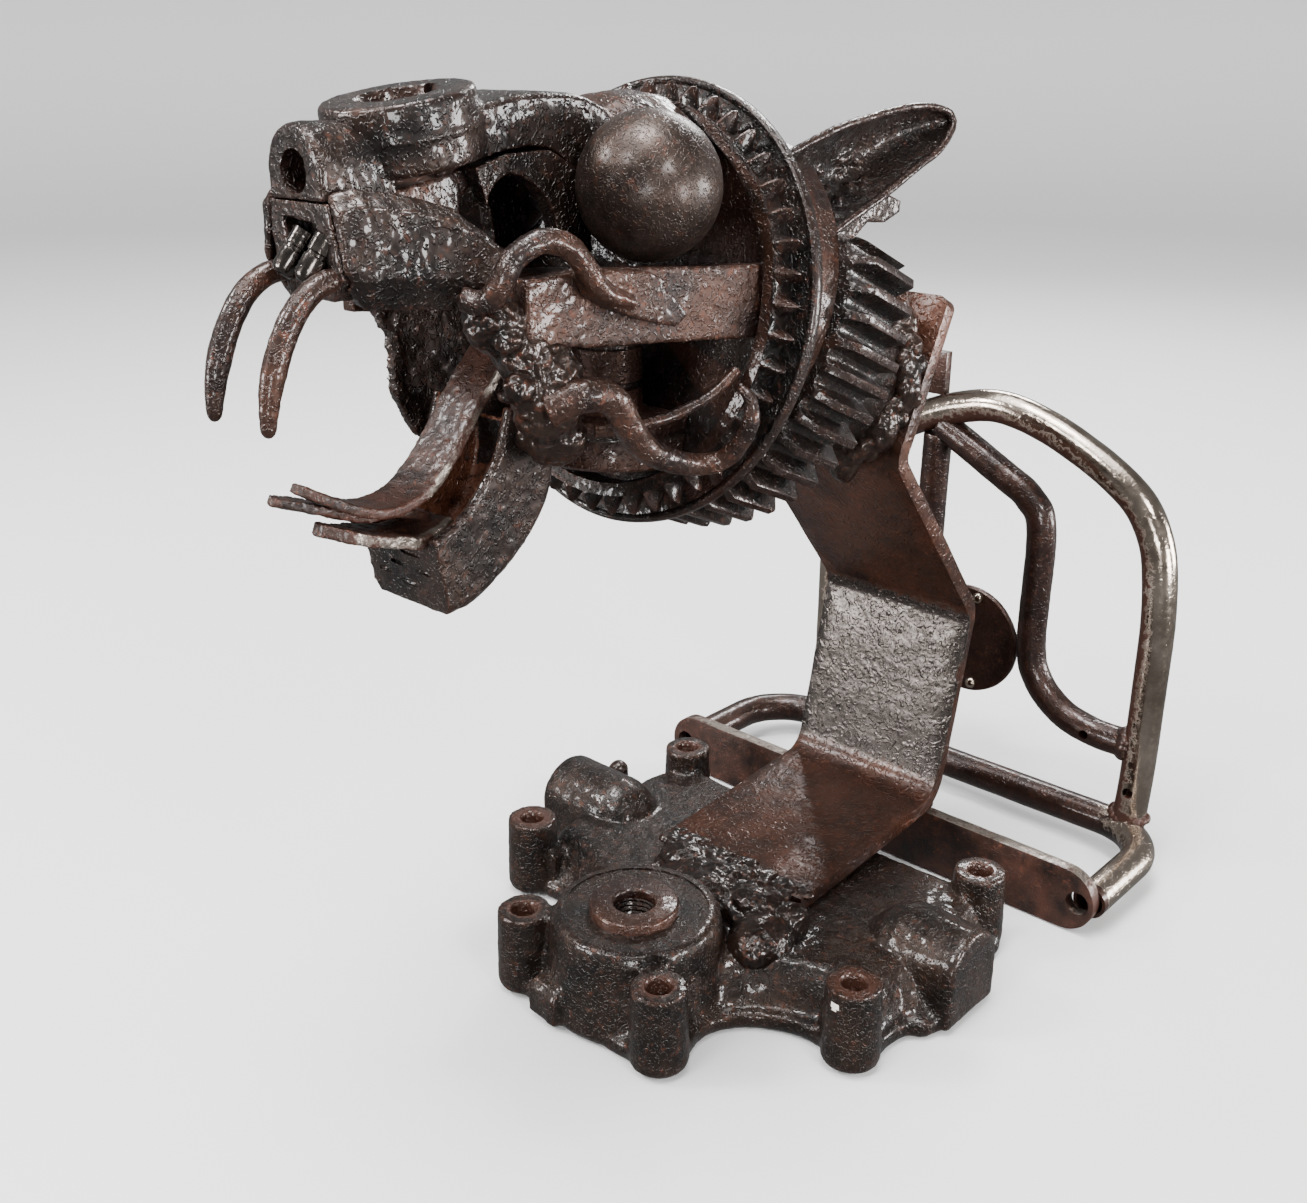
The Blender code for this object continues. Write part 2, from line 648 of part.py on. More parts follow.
def neck_gear():
    """The spur gear behind the collar."""
    frame = axis_frame(GEAR_REAR_C, GEAR_PITCH)
    profile = ((0.12, 0.0), (0.30, 1.0), (0.62, 1.0), (0.80, 0.0))
    levels = ((0.0, GEAR_TIP_R, GEAR_ROOT_R), (GEAR_W - 4 * MM, GEAR_TIP_R, GEAR_ROOT_R),
              (GEAR_W, GEAR_TIP_R - 4.5 * MM, GEAR_ROOT_R))
    rings = toothed_ring(GEAR_TEETH, levels, frame, profile)
    obj = mesh_object("neck_gear", loft(rings), "dark_gear")
    boolean(obj, crown_cutter("gear.cut", -5 * MM, GEAR_W + 5 * MM), "DIFFERENCE")
    return bake(obj)


def neck_cone(strap, gear):
    """The cone that joins the gear's rear face to the strap."""
    frame = axis_frame(GEAR_REAR_C, GEAR_PITCH)
    low, high = -66.0 * MM, -WELD_GAP
    profile = [(0, low), (CONE_SMALL_R, low), (CONE_SMALL_R + 2.5 * MM, -44 * MM),
               (CONE_BIG_R - 9 * MM, -16 * MM), (CONE_BIG_R, -5 * MM), (CONE_BIG_R, high),
               (0, high)]
    obj = mesh_object("neck_cone", lathe(profile, 28, frame), "dark_gear", True)
    boolean(obj, crown_cutter("cone.cut", -34 * MM, 5 * MM), "DIFFERENCE")
    return trim(obj, [strap])


def collar_ring():
    """The collar: a thin flange, a band of pointed dog teeth and an open bore with a web."""
    frame = axis_frame(COLLAR_C, COLLAR_PITCH)
    profile = ((0.0, 0.0), (0.5, 1.0))
    flange = lathe([(0, -COLLAR_T), (COLLAR_R - 0.5 * MM, -COLLAR_T), (COLLAR_R, -COLLAR_T + 0.6 * MM),
                    (COLLAR_R, -1.0 * MM), (COLLAR_R - 1.2 * MM, 0), (0, 0)], 36, frame)
    obj = mesh_object("collar_ring", flange, "dark_gear")
    levels = ((-0.55 * MM, DOG_TIP_R + 1.0 * MM, DOG_ROOT_R),
              (DOG_BAND_T, DOG_TIP_R - 3.6 * MM, DOG_ROOT_R - 0.4 * MM))
    band = mesh_object("collar.band", loft(toothed_ring(DOG_TEETH, levels, frame, profile)),
                       "dark_gear")
    boolean(obj, band, "UNION", "MANIFOLD")
    bore = lathe([(0, -COLLAR_T + WEB_T), (COLLAR_BORE_R, -COLLAR_T + WEB_T),
                  (COLLAR_BORE_R, DOG_BAND_T + 2 * MM), (0, DOG_BAND_T + 2 * MM)], 28,
                 frame @ Matrix.Rotation(0.031, 4, "Z"))
    boolean(obj, mesh_object("collar.bore", bore, "dark_gear"), "DIFFERENCE", "MANIFOLD")
    return bake(obj)


def neck_sleeve(collar, gear):
    """The sleeve between the collar's back and the gear's front face."""
    rings = []
    for centre, pitch, shift, r in ((COLLAR_C, COLLAR_PITCH, -COLLAR_T - WELD_GAP, 51.5 * MM),
                                    (GEAR_REAR_C, GEAR_PITCH, GEAR_W + WELD_GAP, 53.0 * MM)):
        frame = axis_frame(centre, pitch)
        rings.append([frame @ Vector((r * cos(a), r * sin(a), shift))
                      for a in [2 * pi * k / 36 for k in range(36)]])
    return mesh_object("neck_sleeve", loft(rings), "brown_steel", True)


def eye():
    """One ball eye."""
    bm = bmesh.new()
    bmesh.ops.create_uvsphere(bm, u_segments=16, v_segments=8, radius=EYE_R,
                              matrix=Matrix.Translation(EYE_C))
    return mesh_object("eye_ball_L", bm, "bronze_ball", True)


def snout_arm():
    """The upper lever: its eye with a hole at the front, and the arm going back and down."""
    tilt = Matrix.Rotation(RING_TILT, 4, "X")
    frame = Matrix.Translation(RING_C) @ tilt
    ring = lathe([(0, -RING_H), (RING_R, -RING_H), (RING_R, -1 * MM), (RING_R - 1 * MM, 0),
                  (0, 0)], 22, frame)
    obj = mesh_object("snout_arm", ring, "dark_gear")
    outline = [(-92, 272.5), (-84, 274.5), (-71, 277.5), (-58, 277.8), (-50, 273.5), (-41, 262),
               (-31, 262), (-30, 276), (-37, 286), (-46, 290), (-62, 290.6), (-76, 288.6),
               (-92, 286)]
    arm = side_plate([(y * MM, z * MM) for y, z in outline], -13 * MM, 13 * MM)
    boolean(obj, mesh_object("arm.bar", arm, "dark_gear"), "UNION")
    hole = lathe([(0, -RING_H - 5 * MM), (RING_HOLE_R, -RING_H - 5 * MM), (RING_HOLE_R, 5 * MM),
                  (0, 5 * MM)], 16, frame)
    boolean(obj, mesh_object("arm.hole", hole, "dark_gear"), "DIFFERENCE")
    return bake(obj)


def nose():
    """The small bush at the tip of the muzzle, bored along the muzzle."""
    outline = [(-NOSE_R, -6 * MM)]
    outline += [(NOSE_R * cos(a), NOSE_R * sin(a)) for a in [pi - pi * k / 10 for k in range(11)]]
    outline += [(NOSE_R, -6 * MM)]
    body = prism(outline, lambda p: (p[0], NOSE_Y, NOSE_Z + p[1]),
                 lambda p: (p[0], NOSE_Y + NOSE_DEPTH, NOSE_Z + p[1]))
    obj = mesh_object("nose_bush", body, "dark_gear")
    frame = Matrix.Translation((0, NOSE_Y, NOSE_Z)) @ Matrix.Rotation(-pi / 2, 4, "X")
    hole = lathe([(0, -5 * MM), (NOSE_HOLE_R, -5 * MM), (NOSE_HOLE_R, NOSE_DEPTH + 5 * MM),
                  (0, NOSE_DEPTH + 5 * MM)], 16, frame)
    boolean(obj, mesh_object("nose.hole", hole, "dark_gear"), "DIFFERENCE")
    return bake(obj)


def front_plate(name, shape, top, near, far, slot="dark_gear"):
    """A piece cut to an (x, z) shape in mm below a height, between two Y values."""
    outline = [(x * MM, top + z * MM) for x, z in shape]
    bm = prism(outline, lambda p: (p[0], near, p[1]), lambda p: (p[0], far, p[1]))
    return mesh_object(name, bm, slot)


def nose_bracket():
    """The forked bracket under the nose that the fangs and bolts hang from."""
    shape = [(-11, 0), (11, 0), (12.5, -6), (14.5, -16), (11, -21), (-6, -21), (-10, -14),
             (-11.5, -8)]
    top = NOSE_Z - 6 * MM - WELD_GAP
    obj = front_plate("nose_bracket", shape, top, NOSE_Y + 0.4 * MM, NOSE_Y + 11 * MM)
    mouth = [(-6.5, -3.5), (6, -4.5), (10, -17), (-4, -15.5)]
    notch = front_plate("bracket.mouth", mouth, top, NOSE_Y - 3 * MM, NOSE_Y + 6 * MM)
    boolean(obj, notch, "DIFFERENCE")
    return bake(obj)


def snout_bridge(neighbours):
    """The block under the arm that ties nose, snout bars and arm together."""
    outline = [(-108, 250), (-104, 270), (-88, 273), (-74, 276), (-64, 276), (-64, 273),
               (-74.3, 272.7), (-82.5, 268), (-85.5, 251)]
    body = side_plate([(y * MM, z * MM) for y, z in outline], -BRIDGE_HALF, BRIDGE_HALF)
    # EXACT empties this block against the arm's eye, MANIFOLD does not
    return trim(mesh_object("snout_bridge", body, "brown_steel"), neighbours, "MANIFOLD")


def palate(neighbours):
    """The dished roof of the mouth, from under the snout back to the collar."""
    rings = []
    for y, z, half in ((-99, 250, 9), (-90, 249, 13), (-72, 247, 22), (-45, 245.5, 27),
                       (-23, 244.5, 28)):
        ring = [(-half, z - 2.5), (0, z), (half, z - 2.5), (half, z - 4.7), (0, z - 2.4),
                (-half, z - 4.7)]
        rings.append([(x * MM, y * MM, q * MM) for x, q in ring])
    return trim(mesh_object("mouth_roof", loft(rings), "brown_steel"), neighbours)


def snout_plate(neighbours):
    """The heavy side bar of the snout, thick at the cheek, with a bevelled lower edge."""
    rings = []
    for y, x_in, x_out, low, mid, high in ((-121.0, 9.9, 16.0, 252.5, 255.5, 271.0),
                                           (-116, 9.8, 18, 246.0, 252.5, 272.0),
                                           (-105, 9.8, 22, 245.0, 253.0, 270.3),
                                           (-95, 9.8, 26.5, 244.5, 251.5, 267.0),
                                           (-84, 19, 31.5, 245.5, 249.5, 257.0)):
        ring = [(x_in, low + 1), (x_out - 3, low), (x_out, mid), (x_out - 1, high - 3.5),
                (x_out - 5, high), (x_in, high - 0.5)]
        rings.append([(x * MM, y * MM, z * MM) for x, z in ring])
    return trim(mesh_object("snout_plate_L", loft(rings), "dark_gear"), neighbours)


def snout_arch(neighbours):
    """The forked lever between snout and eye, whose round opening reads as a dark hole."""
    crown = [(-82.3, 274.5), (-71, 277.1), (-58.2, 277.4), (-50.4, 273.3), (-45, 266.2),
             (-44.5, 252), (-56.2, 251.5)]
    opening = [(-56.4, 256), (-57.5, 262), (-60, 266.5), (-63.6, 269.6), (-67.4, 271.7),
               (-71.5, 272.6), (-75.3, 271.2), (-77.6, 269.3), (-79, 265.6), (-80.9, 271.4)]
    plate = side_plate([(y * MM, z * MM) for y, z in crown + opening],
                       BRIDGE_HALF + WELD_GAP, BRIDGE_HALF + WELD_GAP + ARCH_T)
    return trim(mesh_object("snout_arch_L", plate, "dark_gear"), neighbours)


def forehead(neighbours):
    """The brown cap between the eyes, from the arm back to the collar."""
    rings = []
    for y, top, half in ((-34, 287, 21), (-26, 290, 24), (-17, 290.4, 26), (-10.3, 289.4, 26)):
        ring = [(-half, top - 17), (-half * 0.8, top - 8), (-half * 0.35, top - 1), (0, top),
                (half * 0.35, top - 1), (half * 0.8, top - 8), (half, top - 17)]
        rings.append([(x * MM, y * MM, z * MM) for x, z in ring])
    return trim(mesh_object("forehead_cap", loft(rings), "brown_steel", True), neighbours)


def yoke_plate(neighbours):
    """The cheek's flat bar from the muzzle back into the collar's bore."""
    rings = []
    for y, x, low, high in ((-87, 36, 236.5, 251.5), (-70, 39.5, 234.3, 252.6),
                            (-46, 43.5, 232.8, 251.2), (-12, 50.5, 230.4, 249.0)):
        ring = [(x - 5, low), (x, low), (x, high), (x - 5, high)]
        rings.append([(a * MM, y * MM, z * MM) for a, z in ring])
    return trim(mesh_object("cheek_yoke_L", loft(rings), "brown_steel"), neighbours)


def upper_hook(neighbours):
    """The looped rod over the cheek that ends in a pointed blade on the yoke."""
    path = [(27.5, -98.5, 247.8), (32.5, -96.0, 247.2), (35.6, -94.2, 251.5), (37, -91, 257.0),
            (39, -84.6, 260.2), (41, -78.2, 258.6), (42.8, -74.0, 253.0), (44.2, -70.5, 248.0),
            (46, -62, 244.5)]
    radii = (1.0, 1.0, 1.0, 1.0, 1.0, 1.0, 0.95, 0.8, 0.35)
    obj = mesh_object("cheek_hook_upper_L", rod([Vector(p) * MM for p in path],
                                                [HOOK_R * r for r in radii], 6), "brown_steel",
                      True)
    blade = [(-73, 252.5), (-64, 254.8), (-50, 255.2), (-51, 251.5), (-42.5, 246.0),
             (-47, 241.8), (-53.5, 240.4), (-61.5, 243.0), (-70, 247.0)]
    flat = prism([(y * MM, z * MM) for y, z in blade],
                 lambda p: (39.6 * MM + (p[0] / MM + 70) * 0.165 * MM, p[0], p[1]),
                 lambda p: (43.4 * MM + (p[0] / MM + 70) * 0.165 * MM, p[0], p[1]))
    boolean(obj, mesh_object("hook.blade", flat, "brown_steel"), "UNION")
    return trim(bake(obj), neighbours)


def lower_hook(neighbours):
    """The long bent rod under the cheek that curls up in front of the collar."""
    path = [(38, -84, 221.5), (43, -76.5, 224.6), (45, -69, 222.6), (45.3, -64, 215.5),
            (45.5, -57.6, 208.2), (45.5, -47, 203.0), (46, -38.5, 200.6), (50, -34, 201.6),
            (54.6, -32.5, 206.4), (57.3, -31.5, 212.5), (56.4, -31, 218), (53, -31, 220.6)]
    radii = (4.4, 4.2, 3.9, 3.7, 3.4, 3.1, 2.9, 2.7, 2.5, 2.2, 1.8, 1.1)
    pts = smooth_path([Vector(p) * MM for p in path], 1)
    obj = mesh_object("cheek_hook_lower_L", rod(pts, [r * MM for r in radii], 7), "brown_steel",
                      True)
    return trim(obj, neighbours)


def jaw():
    """The lower jaw, a curved channel open above, from the cheek down to the blunt chin."""
    backs = ((-59, 207), (-60.5, 194), (-66, 184), (-77, 174.5), (-88, 168.5), (-97.5, 167))
    fronts = ((-75, 217), (-79, 206), (-84, 199), (-91, 192.5), (-97, 189.2), (-101, 188))
    floors = (4.5, 4.5, 4.5, 6.0, 14.0, 19.5)
    rings = []
    for back, front, floor in zip(backs, fronts, floors):
        half, wall = 15.5, 3.2
        b, f = Vector(back), Vector(front)
        up = (f - b).normalized()
        deep = b + up * floor
        ring = [(-half + 2, b), (half - 2, b), (half, b + up * 2.5), (half, f),
                (half - wall, f), (half - wall, deep), (-half + wall, deep), (-half + wall, f),
                (-half, f), (-half, b + up * 2.5)]
        rings.append([(x * MM, p.x * MM, p.y * MM) for x, p in ring])
    return mesh_object("jaw_channel", loft(rings), "dark_gear")


def ribbon(line, widths, low, high, x0=0.0):
    """A flat strip along (y, z) points in mm, as wide as widths say."""
    pts = [p.xy for p in smooth_path([Vector((y, z, 0)) for y, z in line], 2)]
    rings = []
    for i, p in enumerate(pts):
        share = i / (len(pts) - 1) * (len(widths) - 1)
        k = min(int(share), len(widths) - 2)
        w = widths[k] + (widths[k + 1] - widths[k]) * (share - k)
        a, b = pts[max(i - 1, 0)], pts[min(i + 1, len(pts) - 1)]
        t = (b - a).normalized()
        n = Vector((-t.y, t.x))
        ring = [(x0 - w, p - n * low), (x0 + w, p - n * low), (x0 + w, p + n * high),
                (x0 - w, p + n * high)]
        rings.append([(x * MM, q.x * MM, q.y * MM) for x, q in ring])
    return loft(rings)


def tongue(neighbours):
    """The flat strap that lies in the mouth and turns up at its tip, with a rib along it."""
    line = [(-67, 228), (-77, 217.5), (-85.5, 206.8), (-94, 198.6), (-103, 195.0),
            (-112, 195.8), (-121, 200.0), (-128.5, 204.4)]
    strip = ribbon(line, (7.5, 7.5, 7.5, 7.4, 6.0), 1.2, 1.2)
    obj = mesh_object("tongue_strap", strip, "brown_steel")
    rib = ribbon([(-68.2, 226), (-77, 216.9), (-85.5, 206.2), (-94, 198.0)],
                 (1.6, 1.4, 0.8), 0.4, 3.2, 3.2)
    boolean(obj, mesh_object("tongue.rib", rib, "brown_steel"), "UNION")
    return trim(bake(obj), neighbours)


def lip_leaves(neighbours):
    """Two thin pointed leaves of the lower lip, one above the other."""
    lower = ribbon([(-90, 189.5), (-95, 187.8), (-101, 186.9), (-106, 188.3), (-112, 189.8),
                    (-118, 191.6), (-125.0, 194.6)],
                   (7.0, 8.6, 9.0, 9.0, 8.4, 6.0, 1.6), 0.9, 1.6, 2.0)
    upper = ribbon([(-92, 188.9), (-97, 191.4), (-104, 193.4), (-114, 194.6), (-124, 198.6),
                    (-133.6, 202.2)], (5.5, 6.5, 7.5, 7.0, 4.6, 1.4), 0.9, 0.9, -3.0)
    first = trim(mesh_object("lip_leaf_lower", lower, "brown_steel"), neighbours)
    trim(mesh_object("lip_leaf_upper", upper, "brown_steel"), neighbours + [first])


def throat(neighbours):
    """The round cup low in the collar's mouth, with the post that stands on it."""
    frame = Matrix.Translation((0, -22 * MM, 0))
    cup = lathe([(0, 193 * MM), (25.5 * MM, 193 * MM), (25.5 * MM, 207 * MM),
                 (0, 207 * MM)], 22, frame)
    cup = mesh_object("throat_cup", cup, "brown_steel")
    behind = axis_frame(COLLAR_C, COLLAR_PITCH)
    square = [(-60 * MM, -60 * MM), (60 * MM, -60 * MM), (60 * MM, 20 * MM), (-60 * MM, 20 * MM)]
    block = prism(square, lambda p: behind @ Vector((p[0], p[1], -50 * MM)),
                  lambda p: behind @ Vector((p[0], p[1], -COLLAR_T + WEB_T + WELD_GAP)))
    boolean(cup, mesh_object("cup.back", block, "brown_steel"), "DIFFERENCE")
    cup = trim(bake(cup), neighbours)
    post = lathe([(0, 207.3 * MM), (9.5 * MM, 207.3 * MM), (9.5 * MM, 233.0 * MM),
                  (0, 233.0 * MM)], 14, Matrix.Translation((6 * MM, -31 * MM, 0)))
    return cup, trim(mesh_object("throat_post", post, "brown_steel", True), neighbours)


def fang(side):
    """One curved tooth of round bar, thin and rounded at its tip."""
    line = [(-116.0, 252.8), (-124, 252.3), (-131, 248.2), (-136.4, 241.3), (-139.4, 233.5),
            (-140.1, 226.5), (-139.5, 221.3)]
    pts = smooth_path([Vector((side * FANG_X / MM, y, z)) * MM for y, z in line], 2)
    radii = (1.0, 1.05, 1.1, 1.15, 1.2, 1.25, 1.25, 1.2, 1.15, 1.05, 0.95, 0.85, 0.45)
    return mesh_object("fang_L" if side > 0 else "fang_R",
                       rod(pts, [FANG_R * r for r in radii], 7), "brown_steel", True)


def nose_bolt(name, x, neighbours):
    """A short bolt stub set in the bracket's mouth, tipped down to the front."""
    ends = [Vector((x - 1.6, -125.0, 252.6 - 0.1 * x)), Vector((x + 1.2, -119.0, 262.0))]
    return trim(mesh_object(name, rod([p * MM for p in ends], 2.9 * MM, 12), "worn_nickel", True),
                neighbours)


def ear(neighbours):
    """The near ear: a pointed half shell, hollow to the front."""
    sections = [  # upper rim, lower rim and deepest point of the bowl
        ((39, 0, 273.5), (43, 10, 250.0), (33, 12, 260.0)),
        ((40, 23, 280.0), (44, 25.5, 256.3), (30, 32, 266.0)),
        ((40, 43.5, 283.2), (44, 42, 262.0), (31, 49, 271.0)),
        ((40, 60, 284.9), (44, 57, 268.2), (34, 62.5, 276.0)),
        ((40.5, 71, 284.5), (44, 69, 272.8), (37.5, 74, 279.0)),
        ((41, 78, 282.9), (43, 76.8, 278.0), (40.5, 79.5, 280.6))]
    rings = []
    for up, low, deep in sections:
        up, low, deep = Vector(up), Vector(low), Vector(deep)
        away = (deep - (up + low) / 2).normalized()
        inner, outer = [], []
        for k in range(6):
            t = k / 5
            w = 4 * t * (1 - t)
            point = up.lerp(low, t) + (deep - (up + low) / 2) * w
            spread = (low - up).normalized() * (t - 0.5) * 1.6
            inner.append(point)
            outer.append(point + (away * (0.7 + 0.8 * w) + spread) * EAR_T / MM * 0.8)
        rings.append([p * MM for p in inner + outer[::-1]])
    return trim(mesh_object("ear_L", loft(rings), "dark_gear", True), neighbours)


def ear_lug(neighbours):
    """The cut-off lug that stands behind the ear."""
    outline = [(20, 252), (30, 255.5), (40, 259), (50, 262), (60, 258.8), (59.5, 255.6),
               (52, 253.1), (43.4, 254), (36.4, 249.6), (24, 247)]
    lug = side_plate([(y * MM, z * MM) for y, z in outline], 33 * MM, 38 * MM)
    return trim(mesh_object("ear_lug_L", lug, "dark_gear"), neighbours)


def cheek_wall(neighbours):
    """The curved plate that closes the far side of the mouth."""
    outline = [(-88.4, 240.6), (-83.9, 235.4), (-81.0, 229), (-81.5, 221), (-80.2, 214.6),
               (-77.3, 208.7), (-74, 203), (-58, 202), (-30, 199), (-22, 205), (-21, 236),
               (-60, 241)]
    wall = side_plate([(y * MM, z * MM) for y, z in outline], -27.5 * MM, -24.5 * MM)
    return trim(mesh_object("cheek_wall_R", wall, "dark_gear"), neighbours)


def tube_bar(neighbours):
    """The thin curved bar that crosses behind the lower hook."""
    line = [(36, -66, 212.8), (40, -60, 213.0), (43.5, -48, 214.2), (46, -36, 217.5),
            (47.5, -26, 223.0)]
    bar = rod(smooth_path([Vector(p) * MM for p in line], 1), 1.5 * MM, 8)
    return trim(mesh_object("cheek_bar_L", bar, "brown_steel", True), neighbours)


def build():
    """Make every piece of the sculpture."""
    clear_scene()
    cover = base_casting()
    washer()
    strap = neck_strap()
    weld("base_weld", [((6 * MM, 26 * MM, 22 * MM), (31 * MM, 15 * MM, 9 * MM)),
                       ((31 * MM, 13 * MM, 21.5 * MM), (12 * MM, 14 * MM, 9 * MM)),
                       ((-18 * MM, 31 * MM, 22 * MM), (12 * MM, 10 * MM, 9 * MM)),
                       ((20 * MM, 25 * MM, 25.5 * MM), (14 * MM, 9 * MM, 7 * MM)),
                       ((2 * MM, 18 * MM, 25.5 * MM), (11 * MM, 8 * MM, 6.5 * MM))],
         [cover, strap])
    rack(strap)
    gear = neck_gear()
    cone = neck_cone(strap, gear)
    collar = collar_ring()
    sleeve = neck_sleeve(collar, gear)
    frame = axis_frame(GEAR_REAR_C, GEAR_PITCH)
    beads = []
    for k in range(4):
        a = radians(-60 + 33 * k)
        beads.append((frame @ Vector((29 * MM * cos(a), 29 * MM * sin(a), -57.5 * MM)),
                      (7 * MM, 5.5 * MM, 9.5 * MM)))
    neck_weld = weld("neck_weld_L", beads, [strap, cone])
    mirrored(neck_weld, "neck_weld_R")

    arm = snout_arm()
    ball = trim(eye(), [arm])
    bush = trim(nose(), [arm])
    bracket = nose_bracket()
    bridge = snout_bridge([arm, bush, bracket])
    plate = snout_plate([bush, bracket, arm, bridge])
    far_plate = mirrored(plate, "snout_plate_R")
    arch = snout_arch([arm, ball, plate, bridge])
    mirrored(arch, "snout_arch_R")
    mirrored(ball, "eye_ball_R")
    forehead([arm, collar, ball, bpy.data.objects["eye_ball_R"]])
    roof = palate([plate, far_plate, bridge, bracket, collar])
    yoke = yoke_plate([collar, roof])
    far_yoke = mirrored(yoke, "cheek_yoke_R")
    lower = jaw()
    cup, post = throat([collar, lower, roof])
    wall = cheek_wall([collar, roof, lower, cup, far_yoke, far_plate])
    cheek = weld("cheek_weld_L", [((33 * MM, -79 * MM, 225 * MM), (9.5 * MM, 10 * MM, 15 * MM)),
                                  ((23 * MM, -69 * MM, 211 * MM), (12 * MM, 8 * MM, 9 * MM)),
                                  ((29 * MM, -90 * MM, 242 * MM), (8 * MM, 9 * MM, 8 * MM)),
                                  ((30 * MM, -84 * MM, 235 * MM), (8 * MM, 8 * MM, 9 * MM))],
                 [yoke, plate, lower, cup, arch, roof])
    hook = upper_hook([yoke, plate, cheek])
    mirrored(hook, "cheek_hook_upper_R")
    low_hook = lower_hook([cheek, collar, yoke])
    tube_bar([collar, cheek, low_hook, yoke])
    flap = tongue([lower, cup, wall, roof])
    lip_leaves([flap, lower])
    fangs = [trim(fang(side), [bracket, plate, far_plate]) for side in (1, -1)]
    nose_bolt("nose_bolt_1", 6.8, [bracket] + fangs)
    nose_bolt("nose_bolt_2", -1.8, [bracket] + fangs)
    near_ear = ear([collar, gear, sleeve, cone])
    mirrored(near_ear, "ear_R")
    lug = ear_lug([near_ear, collar, sleeve, gear, cone])
    mirrored(lug, "ear_lug_R")

    root = bpy.data.objects.new("wolf_head", None)
    bpy.context.scene.collection.objects.link(root)
    root.location = BED_SHIFT
    for obj in bpy.context.scene.objects:
        if obj is not root and obj.parent is None:
            obj.parent = root


build()
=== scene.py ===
"""Look of a wolf head welded from scrap machine parts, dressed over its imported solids.

Shapes are drawn in millimetres in the drawing frame (mirror plane at X = 0, muzzle to -Y)
and moved into the frame's metres when a piece is handed over by publish().
"""

import random
from math import cos, pi, radians, sin, tan

import bmesh
import bpy
from mathutils import Matrix, Vector, noise


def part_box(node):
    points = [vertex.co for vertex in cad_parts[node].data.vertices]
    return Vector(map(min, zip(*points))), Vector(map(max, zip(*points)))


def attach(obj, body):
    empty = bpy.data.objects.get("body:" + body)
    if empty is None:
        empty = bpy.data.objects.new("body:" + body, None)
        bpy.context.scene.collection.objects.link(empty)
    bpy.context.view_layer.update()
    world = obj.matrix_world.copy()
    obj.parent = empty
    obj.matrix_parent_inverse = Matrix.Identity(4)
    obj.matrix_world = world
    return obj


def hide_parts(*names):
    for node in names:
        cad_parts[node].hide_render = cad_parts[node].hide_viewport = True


bl_info = {
    "name": "Scrap Metal Wolf Head",
    "version": (1, 0, 0),
    "blender": (4, 5, 0),
    "location": "View3D > Sidebar > Wolf Head",
    "description": "Builds the welded wolf head, its lacquered finishes and a pale studio",
    "category": "Object",
}

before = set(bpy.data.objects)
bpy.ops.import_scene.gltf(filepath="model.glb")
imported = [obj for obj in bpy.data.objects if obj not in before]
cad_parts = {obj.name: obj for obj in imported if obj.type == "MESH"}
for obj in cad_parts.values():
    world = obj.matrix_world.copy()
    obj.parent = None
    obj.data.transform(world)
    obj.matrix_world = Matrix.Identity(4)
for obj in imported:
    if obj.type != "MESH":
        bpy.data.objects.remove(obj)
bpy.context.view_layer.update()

SHIFT = Vector((0.5, -23.15, 0.0))   # where the drawing's origin lies in the frame, in mm
TO_FRAME = Matrix.Scale(0.001, 4) @ Matrix.Translation(SHIFT)
FROM_FRAME = TO_FRAME.inverted()


def from_box(node, axis):
    """Half the width of a solid along one axis, in metres."""
    low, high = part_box(node)
    return (high[axis] - low[axis]) / 2


# Meshes

def angles(count):
    """Equal steps of one full turn."""
    return [2 * pi * k / count for k in range(count)]


def spread(values, share):
    """The value that lies a share of the way along a list."""
    place = share * (len(values) - 1)
    k = min(int(place), len(values) - 2)
    return values[k] + (values[k + 1] - values[k]) * (place - k)


def heading(line, i):
    """The direction in which a line runs at its point i."""
    return (line[min(i + 1, len(line) - 1)] - line[max(i - 1, 0)]).normalized()


def loft(rings):
    """A closed body through rings of points, all with the same count."""
    bm = bmesh.new()
    rows = [[bm.verts.new(p) for p in ring] for ring in rings]
    count = len(rows[0])
    for low, high in zip(rows, rows[1:]):
        for i in range(count):
            j = (i + 1) % count
            bm.faces.new((low[i], low[j], high[j], high[i]))
    bm.faces.new(rows[0][::-1])
    bm.faces.new(rows[-1])
    bmesh.ops.recalc_face_normals(bm, faces=bm.faces)
    return bm


def lathe(profile, sides, place=Matrix()):
    """A closed (radius, height) profile turned round local Z; radius 0 makes a pole."""
    bm = bmesh.new()
    poles = {i: bm.verts.new(place @ Vector((0, 0, z)))
             for i, (r, z) in enumerate(profile) if r == 0}
    grid = [[poles.get(i) or bm.verts.new(place @ Vector((r * cos(a), r * sin(a), z)))
             for i, (r, z) in enumerate(profile)] for a in angles(sides)]
    for a, b in zip(grid, grid[1:] + grid[:1]):
        for i in range(len(profile)):
            j = (i + 1) % len(profile)
            corners = list(dict.fromkeys((a[i], b[i], b[j], a[j])))
            if len(corners) > 2:
                bm.faces.new(corners)
    bmesh.ops.recalc_face_normals(bm, faces=bm.faces)
    return bm


def plain_bar(radius, low, high, sides, place):
    """A plain round bar along local Z, as a body or as a drill."""
    return lathe([(0, low), (radius, low), (radius, high), (0, high)], sides, place)


def curve(points, steps, closed=False):
    """A soft line through given points (Catmull-Rom)."""
    pts = [Vector(p) for p in points]
    if closed:
        pts = [pts[-1]] + pts + pts[:2]
    else:
        pts = [2 * pts[0] - pts[1]] + pts + [2 * pts[-1] - pts[-2]]
    out = []
    for a, b, c, d in zip(pts, pts[1:], pts[2:], pts[3:]):
        for k in range(steps):
            t = k / steps
            out.append(0.5 * (2 * b + (c - a) * t + (2 * a - 5 * b + 4 * c - d) * t * t
                              + (3 * b - a - 3 * c + d) * t ** 3))
    return out if closed else out + [pts[-2]]


